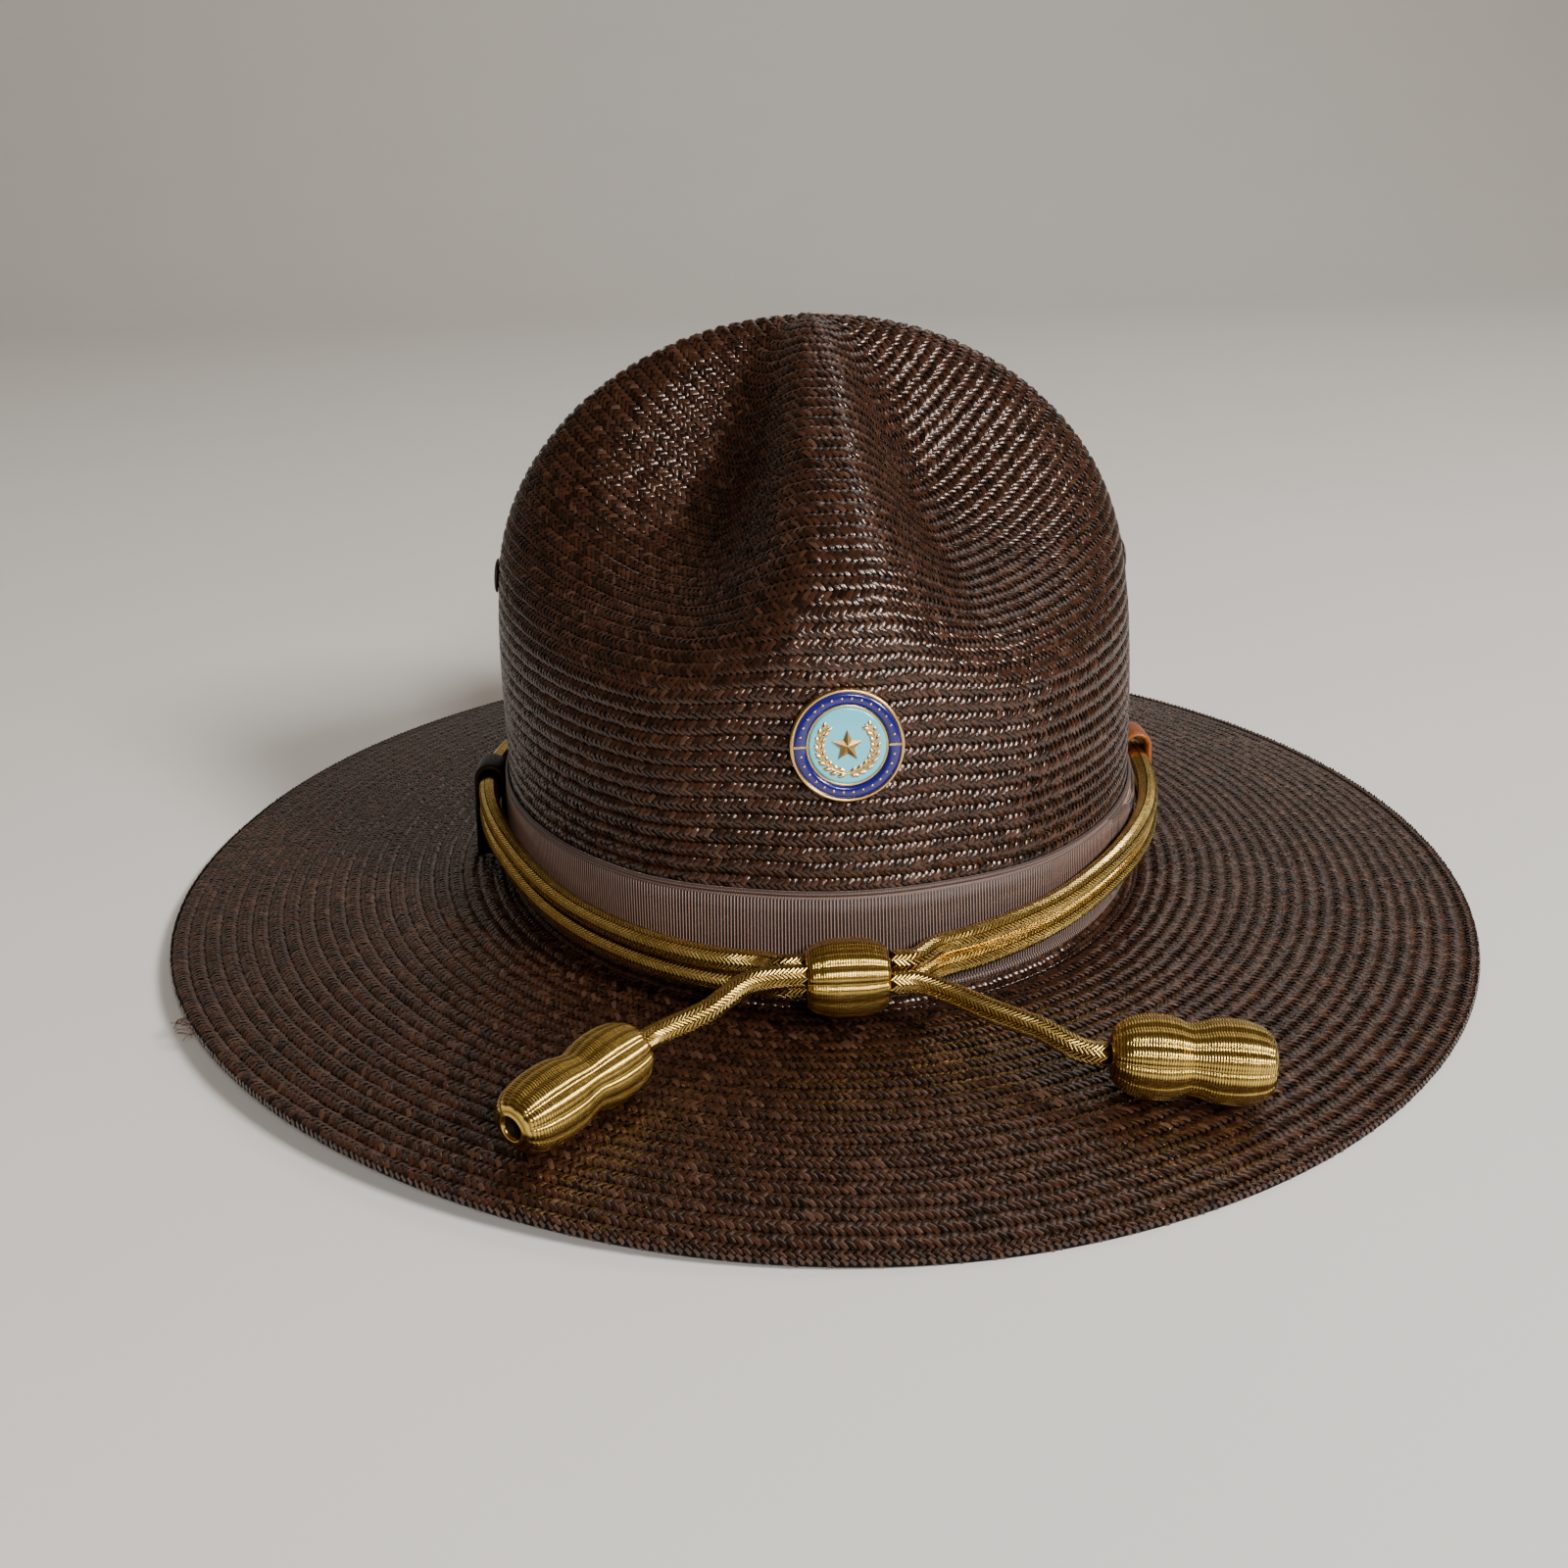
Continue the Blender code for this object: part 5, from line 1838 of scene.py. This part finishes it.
    def _emblem(self, gold: Material) -> Piece:
        """Build the faceted star and the wreath of leaves round it.

        Args:
            gold: Material.

        Returns:
            The piece.
        """
        low = self.enamel_top - self.sink
        rim = []
        for step in range(10):
            radius = self.star_waist if step % 2 else self.star_radius
            angle = math.radians(90.0 + 36.0 * step)
            rim.append((radius * math.cos(angle), radius * math.sin(angle)))
        points = [(low, x, z) for x, z in rim]
        points += [(low + self.star_edge, x * 0.97, z * 0.97) for x, z in rim]
        points += [(low + self.star_height, 0.0, 0.0), (low, 0.0, 0.0)]
        faces = []
        for i in range(10):
            j = (i + 1) % 10
            faces += [(i, j, 10 + j, 10 + i), (10 + i, 10 + j, 20), (j, i, 21)]
        star = make_piece("badge_star_wreath", to_world(points, self.frame), faces, [gold])
        star.data.set_sharp_from_angle(angle=math.radians(20.0))
        leaf = Splint(tucked=0.0, edge=0.0).straw()
        spots, ways = [], []
        for side in Side:
            for step in range(9):
                angle = math.radians(-90.0 + side.value * (12.0 + 15.0 * step))
                for lean, shift in ((0.50, 0.34), (-0.50, -0.34)):
                    radius = self.wreath_radius + shift * self.wreath_width
                    spots.append((low + 0.00012, radius * math.cos(angle), radius * math.sin(angle)))
                    way = angle + side.value * (math.pi / 2 - lean)
                    ways.append((0.0, math.cos(way), math.sin(way)))
        out, size = (np.tile(row, (len(spots), 1)) for row in (np.array(self.frame)[:3, 0], self.leaf_size))
        ways = to_world(ways, self.frame.to_3x3().to_4x4())
        scatter = Scatter("leaf_laying", leaf, gold, 5, 0.05)
        leaves = scatter.lay("badge_leaves", to_world(spots, self.frame), out, ways, size)
        turns = np.linspace(math.radians(-90.0 - 140.0), math.radians(-90.0 + 140.0), 90)
        radius = self.wreath_radius
        path = [(low, radius * math.cos(a), radius * math.sin(a)) for a in turns]
        stem = Tube("badge_stem", to_world(path, self.frame), self.stem_radius, 8).build(gold)
        bpy.data.objects.remove(leaf)
        return join("badge_star_wreath", [star, leaves, stem])


# Cord, slide and acorns


@dataclass
class Tube:
    """A round tube along a line of points, with rounded ends."""

    name: str
    path: Array
    radius: float
    segments: int = 14

    @cached_property
    def frames(self) -> tuple[Array, Array, Array]:
        """Find the directions at each point, without twist.

        Returns:
            Tangents and two directions square to them.
        """
        tangent = unit(np.gradient(self.path, axis=0))
        side = unit(np.cross(tangent[0], UP) if abs(tangent[0, 2]) < 0.9 else np.array((1.0, 0.0, 0.0)))
        sides = []
        for direction in tangent:
            side = unit(side - direction * np.dot(side, direction))
            sides.append(side)
        sides = np.array(sides)
        return tangent, sides, np.cross(tangent, sides)

    def build(self, finish: Material) -> Piece:
        """Build the tube.

        Args:
            finish: Material.

        Returns:
            The piece.
        """
        tangent, side, up = self.frames
        angles = circle(self.segments)[:, None]
        ring = (side[:, None] * np.cos(angles) + up[:, None] * np.sin(angles)) * self.radius
        start = self.path[0] + ring[0] * 0.7 - tangent[0] * 0.3 * self.radius
        end = self.path[-1] + ring[-1] * 0.7 + tangent[-1] * 0.3 * self.radius
        rings = np.concatenate((start[None], self.path[:, None] + ring, end[None]))
        return make_piece(self.name, *closed_tube(rings), [finish])


@dataclass
class PlaitedCord:
    """One run of the gold cord: a core with a herringbone plait of metallic thread round it."""

    name: str
    path: Array
    diameter: float
    stitch: float
    stitch_length: float = 0.00172
    relief: float = 0.00030
    slant: float = 0.90
    strands: int = 12
    step: float = 0.00095
    core_share: float = 0.87
    plait_share: float = 0.955

    @property
    def length(self) -> float:
        """Return the length of the cord's middle line."""
        return float(np.linalg.norm(np.diff(self.path, axis=0), axis=1).sum())

    def build(self, finish: Material, scatter: Scatter) -> Piece:
        """Build the cord.

        Args:
            finish: Material of the core.
            scatter: What lays the plait's stitches.

        Returns:
            The piece.
        """
        core = Tube(self.name, self.path, 0.5 * self.diameter * self.core_share)
        arc = arc_lengths(self.path)
        places, outs, ways = [], [], []
        for strand in range(self.strands):
            turn = 2.0 * math.pi * strand / self.strands
            stations = np.arange(0.25, arc[-1] / self.step - 0.25) * self.step
            if strand % 2:
                stations = stations[:-1] + 0.5 * self.step
            along, side, up = (unit(sample(stations, arc, axis)) for axis in core.frames)
            out = side * math.cos(turn) + up * math.sin(turn)
            round_ = up * math.cos(turn) - side * math.sin(turn)
            slant = self.slant if strand % 2 else -self.slant
            places.append(sample(stations, arc, self.path) + out * 0.5 * self.diameter * self.plait_share)
            outs.append(out)
            ways.append(unit(along + round_ * slant))
        places, outs, ways = map(np.concatenate, (places, outs, ways))
        size = np.tile((self.stitch_length, self.stitch, self.relief), (len(places), 1))
        plait = scatter.lay(self.name + "_plait", places, outs, ways, size)
        return join(self.name, [core.build(finish), plait])


@dataclass
class WoundBarrel:
    """A lobed barrel wound crosswise with gold thread: the slide or an acorn."""

    name: str
    frame: Matrix
    length: float
    diameter: float
    profile: tuple
    seed: int
    mouth: float = 0.0
    mouth_depth: float = 0.0050
    lobes: int = 12
    lobe_depth: float = 0.070
    lobe_power: float = 2.6
    pitch: float = 0.00054
    thread: float = 0.00019
    segments: int = 96

    def build(self, finish: Material, dark: Material) -> Piece:
        """Build the barrel.

        Args:
            finish: Material of the thread.
            dark: Material of the mouth's inside, painted shade.

        Returns:
            The piece.
        """
        chance = np.random.default_rng(self.seed)
        windings = int(self.length / self.pitch)
        rows = 4 * windings + 1
        quarter = np.arange(rows)
        along = np.linspace(0.0, self.length, rows)
        outline = smooth_curve(np.array(self.profile) * (self.length, 0.5 * self.diameter), 200)
        radius = np.interp(along, outline[:, 0], outline[:, 1])
        loose = chance.random(windings + 1)[quarter // 4]
        proud = self.thread * WINDING[quarter % 4] * (0.75 + 0.5 * loose)
        angles = circle(self.segments)
        uneven = 0.25 * chance.random(self.lobes)
        lobe = angles * self.lobes / (2.0 * math.pi) + 0.5
        hump = 1.0 - np.abs(2.0 * (lobe % 1.0) - 1.0) ** self.lobe_power
        shape = 1.0 - self.lobe_depth * (1.0 - hump) * (0.9 + uneven[lobe.astype(int) % self.lobes])
        full = smoothstep((radius / (0.5 * self.diameter) - 0.35) / 0.4)
        r = radius[:, None] * (1.0 - (1.0 - shape)[None] * full[:, None]) + proud[:, None]
        rings = np.stack((along[:, None] + 0.0 * r, r * np.cos(angles), r * np.sin(angles)), axis=2)
        narrow = (1.0, 0.5, 0.5)
        tail = [rings[-1] * narrow]
        if self.mouth:
            flat = np.stack((np.zeros(self.segments), np.cos(angles), np.sin(angles)), axis=1)
            inner, end = 0.5 * self.mouth_depth, self.mouth_depth
            lip = ((-0.0003, 1.30), (-0.0002, 1.12), (0.0005, 1.0), (inner, 0.9), (end, 0.8))
            tail = [flat * 0.5 * self.mouth * wide + (self.length - deep, 0.0, 0.0) for deep, wide in lip]
        points, faces = closed_tube(np.concatenate(([rings[0] * narrow], rings, tail)))
        slots = np.zeros(len(faces), int)
        if self.mouth:
            slots[-2 - 2 * self.segments:-2] = slots[-1] = 1
        piece = make_piece(self.name, to_world(points, self.frame), faces, [finish, dark], slots=slots)
        local = to_world([vertex.co[:] for vertex in piece.data.vertices], self.frame.inverted())
        quarter = np.rint(local[:, 0] / self.length * (rows - 1)).astype(int)
        worn = chance.random(windings + 2)[np.clip(quarter // 4, 0, windings + 1)]
        # Painted shade: valleys between windings take the deep colour, crests the bright one, varied at
        # random per winding
        set_tone(piece, WINDING[quarter % 4] * (0.70 + 0.30 * worn))
        return piece


@dataclass
class HatCord:
    """The whole gold cord: two turns round the crown, a slide, two tails and two acorns."""

    form: HatForm
    diameter: float = 0.0048
    band_thickness: float = 0.0006
    slide_length: float = 0.0180
    slide_diameter: float = 0.0169
    slide_centre: tuple = (-0.0017, -0.1094, 0.0116)
    upper_entry: tuple = (0.0016, 0.0026)
    lower_entry: tuple = (0.0016, -0.0025)
    left_tail_entry: tuple = (-0.0034, 0.0026)
    right_tail_entry: tuple = (-0.0038, 0.0000)
    left_tail: tuple = ((-0.0227, -0.1133, 0.0136), (-0.0318, -0.1195, 0.0106))
    right_tail: tuple = ((0.0193, -0.1172, 0.0108), (0.0272, -0.1244, 0.0100), (0.0353, -0.1306, 0.0092))
    straight: float = 0.0050
    acorn_entry: float = 0.0030
    tail_lead: float = 0.0024
    left_acorn: tuple = ((-0.0465, -0.1274), 229.6, 0.0358, 0.0156)
    right_acorn: tuple = ((0.0486, -0.1386), -7.6, 0.0327, 0.0172)
    acorn_rests: tuple = (0.30, 0.74)
    mouth: float = 0.0045
    stitch: float = 0.00051
    tail_stitch: float = 0.00046

    def slide_end(self, side: Side, entry: tuple) -> Vector:
        """Return where a cord meets the slide.

        Args:
            side: End of the slide.
            entry: Place on that end, behind and above its axis.

        Returns:
            The place.
        """
        x, y, z = self.slide_centre
        reach = 0.5 * self.slide_length + self.form.gap
        return Vector((x + side.value * reach, y + entry[0], self.form.foot_z + z + entry[1]))

    def strand(self, entry: tuple, drop: float) -> Array:
        """Return the line of one turn round the crown.

        Args:
            entry: Place on the slide's end, behind and above its axis.
            drop: How far it lies below the upper strand.

        Returns:
            Points 2 mm apart.
        """
        lead = Vector((self.straight, 0.0, 0.0))
        start, end = (self.slide_end(side, entry) for side in Side)
        route = [start, start - lead]
        for turn, gap, height in UPPER_STRAND:
            angle = FRONT + math.radians(turn)
            level = height / 1000.0 - drop
            away = self.band_thickness + self.form.gap + gap / 1000.0 + 0.5 * self.diameter
            place = self.form.wall_points(angle, level)[0, 0] + self.form.outward(angle) * away
            route.append(Vector((place[0], place[1], self.form.foot_z + level)))
        route += [end + lead, end]
        return smooth_curve([tuple(point) for point in route], 320, 0.7 * self.straight)

    def acorn_frame(self, acorn: tuple) -> Matrix:
        """Rest an acorn on the brim.

        Args:
            acorn: Place of the cord's end in plan, heading in degrees, length and diameter.

        Returns:
            Its matrix, with the origin at the cord's end and +X along it.
        """
        (x, y), heading, length, diameter = acorn
        start = Vector((x, y, 0.0))
        level = Vector((math.cos(math.radians(heading)), math.sin(math.radians(heading)), 0.0))
        rests = [start + level * length * share for share in self.acorn_rests]
        for rest in rests:
            rest.z = self.form.brim_height(rest.x, rest.y) + self.form.gap + 0.5 * diameter
        along = (rests[1] - rests[0]).normalized()
        side = Vector((0.0, 0.0, 1.0)).cross(along).normalized()
        axes = Matrix((along, side, along.cross(side))).transposed().to_4x4()
        return Matrix.Translation(rests[0] - along * length * self.acorn_rests[0]) @ axes

    def tail(self, side: Side, entry: tuple, middle: tuple, acorn: tuple) -> Array:
        """Return the line of one tail.

        Args:
            side: End of the slide that it leaves.
            entry: Place on that end.
            middle: Places between slide and acorn, their heights over the crown's foot.
            acorn: The acorn, as for acorn_frame.

        Returns:
            Points from the slide to the acorn.
        """
        start = self.slide_end(side, entry)
        first = start + Vector((side.value * self.straight, 0.0, 0.0))
        frame = self.acorn_frame(acorn)
        last, end = (frame @ Vector((-self.form.gap - back, 0.0, 0.0)) for back in (self.acorn_entry, 0.0))
        inner = [(x, y, self.form.foot_z + z) for x, y, z in middle]
        route = [tuple(start), tuple(first), *inner, tuple(last), tuple(end)]
        return smooth_curve(route, 40, self.tail_lead)

    def build(self, gold: GoldThreadFinish) -> None:
        """Args:
            gold: Finish of the slide and the acorns.
        """
        # The core shows only in the gaps between stitches and is coloured near black as painted shade
        core = GoldThreadFinish((0.12, 0.06, 0.012), (0.05, 0.02, 0.004))
        core = core.material("gold_cord_core", (0.40, 0.55))
        plait = GoldThreadFinish((1.0, 0.74, 0.25), (0.54, 0.35, 0.09), (0.4, 1.0))
        plait = plait.material("gold_cord_plait", (0.20, 0.30))
        wound = gold.material("gold_thread_wound", (0.15, 0.26))
        # Inside of the acorns' mouths: near black as painted shade in the hollow
        dark = PaintFinish("acorn_mouth_dark", (0.012, 0.007, 0.003)).material()
        shape = Splint().stitch()
        scatter = Scatter("plait_laying", shape, plait, 21, 0.025)
        x, y, z = self.slide_centre
        frame = Matrix.Translation((x - 0.5 * self.slide_length, y, self.form.foot_z + z))
        slide = WoundBarrel("gold_slide", frame, self.slide_length, self.slide_diameter, SLIDE_PROFILE, 31)
        slide = slide.build(wound, dark)
        dress(slide, "gold_thread", "cord_slide")
        drop = self.diameter + self.form.gap
        runs = [
            ("ring_upper", self.strand(self.upper_entry, 0.0), self.stitch, "object", [slide]),
            ("ring_lower", self.strand(self.lower_entry, drop), self.stitch, "object", []),
        ]
        for side, acorn, entry, middle, seed in (
            (Side.LEFT, self.left_acorn, self.left_tail_entry, self.left_tail, 32),
            (Side.RIGHT, self.right_acorn, self.right_tail_entry, self.right_tail, 33),
        ):
            name, frame = "gold_acorn_" + side.label, self.acorn_frame(acorn)
            barrel = WoundBarrel(name, frame, acorn[2], acorn[3], ACORN_PROFILE, seed, self.mouth)
            barrel = barrel.build(wound, dark)
            dress(barrel, "gold_thread", "acorn_" + side.label)
            path = self.tail(side, entry, middle, acorn)
            runs.append(("tail_" + side.label, path, self.tail_stitch, "fitting", [barrel]))
        for label, path, stitch, far_end, riders in runs:
            run = PlaitedCord("gold_" + label, path, self.diameter, stitch)
            piece = run.build(core, scatter)
            dress(piece, "gold_thread", "cord_" + label)
        bpy.data.objects.remove(shape)


@dataclass
class FrayedEnd:
    """Loose hairs of straw at the braid's end on the rim."""

    form: HatForm
    angle: float = math.radians(-150.5)
    seed: int = 41
    hairs: int = 16
    spread: float = 2.2
    reach: tuple = (0.0012, 0.0042)
    sway: float = 0.0016
    drop: tuple = (-0.0012, 0.0002)
    thickness: tuple = (0.00005, 0.00011)
    tone: float = 0.9

    def build(self, finish: Material) -> None:
        """Build and dress the frayed end.

        Args:
            finish: Material.
        """
        chance = np.random.default_rng(self.seed)
        parts = []
        for i in range(self.hairs):
            angle = self.angle + math.radians(chance.uniform(-self.spread, self.spread))
            edge = self.form.brim(angle, 1.0)
            out = unit(edge * LEVEL)
            along = np.cross(UP, out)
            reach = chance.uniform(*self.reach)
            sway = chance.uniform(-self.sway, self.sway)
            drop = chance.uniform(*self.drop)
            path = np.array([
                edge - out * 0.0008 - UP * 0.0006,
                edge + out * 0.35 * reach + along * 0.3 * sway - UP * 0.0005,
                edge + out * 0.8 * reach + along * sway + UP * (0.4 * drop),
                edge + out * reach + along * 1.6 * sway + UP * drop,
            ])
            hair = Tube(f"hair_{i}", smooth_curve(path, 9), chance.uniform(*self.thickness), 5)
            parts.append(hair.build(finish))
        piece = join("straw_frayed_end", parts)
        set_tone(piece, np.full(len(piece.data.vertices), self.tone))
        dress(piece, "straw")


# Camera, light and floor


@dataclass
class Studio:
    """Camera at the photo's angle, a pale floor and soft lights."""

    place: tuple = (-0.0311, -0.4282, 0.1866)
    right: tuple = (0.99798, -0.06013, -0.02037)
    up: tuple = (0.04054, 0.35665, 0.93326)
    back: tuple = (-0.04886, -0.93230, 0.35837)
    lens: float = 38.25
    target: tuple = (0.0, 0.0, 0.05)
    surround: tuple = (0.72, 0.52, 0.35, 1.0)
    surround_strength: float = 0.16

    def camera(self) -> None:
        """Make the camera and set it as the scene's."""
        data = bpy.data.cameras.new("photo_camera")
        data.lens = self.lens
        data.sensor_width = 36.0
        data.clip_start = 0.01
        camera = show("photo_camera", data)
        axes = Matrix((self.right, self.up, self.back)).transposed().to_4x4()
        camera.matrix_world = Matrix.Translation(self.place) @ axes
        bpy.context.scene.camera = camera

    def light(self, name: str, place: tuple, size: tuple, power: float, colour: tuple) -> None:
        """Add a soft area light aimed at the hat.

        Args:
            name: Name of the light.
            place: Where it stands.
            size: Width and height of its face.
            power: Power in watts.
            colour: Its colour.
        """
        data = bpy.data.lights.new(name, "AREA")
        data.shape = "RECTANGLE"
        data.size, data.size_y = size
        data.energy = power
        data.color = colour
        aim = Vector(self.target) - Vector(place)
        turn = aim.to_track_quat("-Z", "Y").to_matrix().to_4x4()
        show(name, data).matrix_world = Matrix.Translation(place) @ turn

    def build(self) -> None:
        """Build the floor, the lights and the surrounding light."""
        angles = np.linspace(0.0, math.pi / 2, 13)
        bend = [(1.6 + 1.2 * math.sin(a), 1.2 - 1.2 * math.cos(a)) for a in angles]
        line = [(-4.0, 0.0), *bend, (2.8, 4.0)]
        points = np.array([[(x, y, z) for y, z in line] for x in (4.0, -4.0)])
        faces = strip_faces(2, len(line), ring=False)
        floor = make_piece("floor", points.reshape(-1, 3), faces, [FloorFinish().material()], outward=False)
        for light in LIGHTS:
            self.light(*light)
        world = bpy.data.worlds.new("studio")
        world.use_nodes = True
        background = world.node_tree.nodes["Background"]
        background.inputs["Color"].default_value = self.surround
        background.inputs["Strength"].default_value = self.surround_strength
        bpy.context.scene.world = world


def main() -> None:
    """Build the hat's pieces in order and report each."""
    logging.basicConfig(level=logging.INFO, format="%(name)s: %(message)s")
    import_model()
    form = HatForm()
    studio = Studio()
    studio.camera()
    HatCord(form).build(GoldThreadFinish())
    straw = StrawFinish()
    StrawBody(form).build(straw)
    ribbon = RibbonFinish().material()
    RibbonBand(form).build(ribbon)
    RibbonBow(form).build(ribbon)
    # One chestnut leather in two copies: the left strap near black as painted shade, the right strap
    # orange-tan as painted light, each with its own gloss
    dark = LeatherFinish("strap_leather_dark", (0.004, 0.0016, 0.0009), (0.014, 0.007, 0.004), 0.10)
    lit_leather = LeatherFinish("strap_leather_tan", (0.230, 0.044, 0.002), (0.300, 0.085, 0.018), 0.40)
    for side, leather, height in ((Side.LEFT, dark, 0.0255), (Side.RIGHT, lit_leather, 0.0275)):
        StrapLoop(form, side, height).build(leather.material())
    paint = PaintFinish("eyelet_paint", (0.024, 0.013, 0.009)).material()
    for side in Side:
        Eyelet(form, side).build(paint)
    gold = GoldPlateFinish().material()
    navy = EnamelFinish("enamel_navy", (0.006, 0.003, 0.130), (0.009, 0.005, 0.170)).material()
    blue = EnamelFinish("enamel_blue", (0.120, 0.620, 0.800), (0.170, 0.680, 0.850)).material()
    Badge(form).build(gold, navy, blue)
    FrayedEnd(form).build(straw.splints())
    studio.build()


if __name__ == "__main__":
    main()
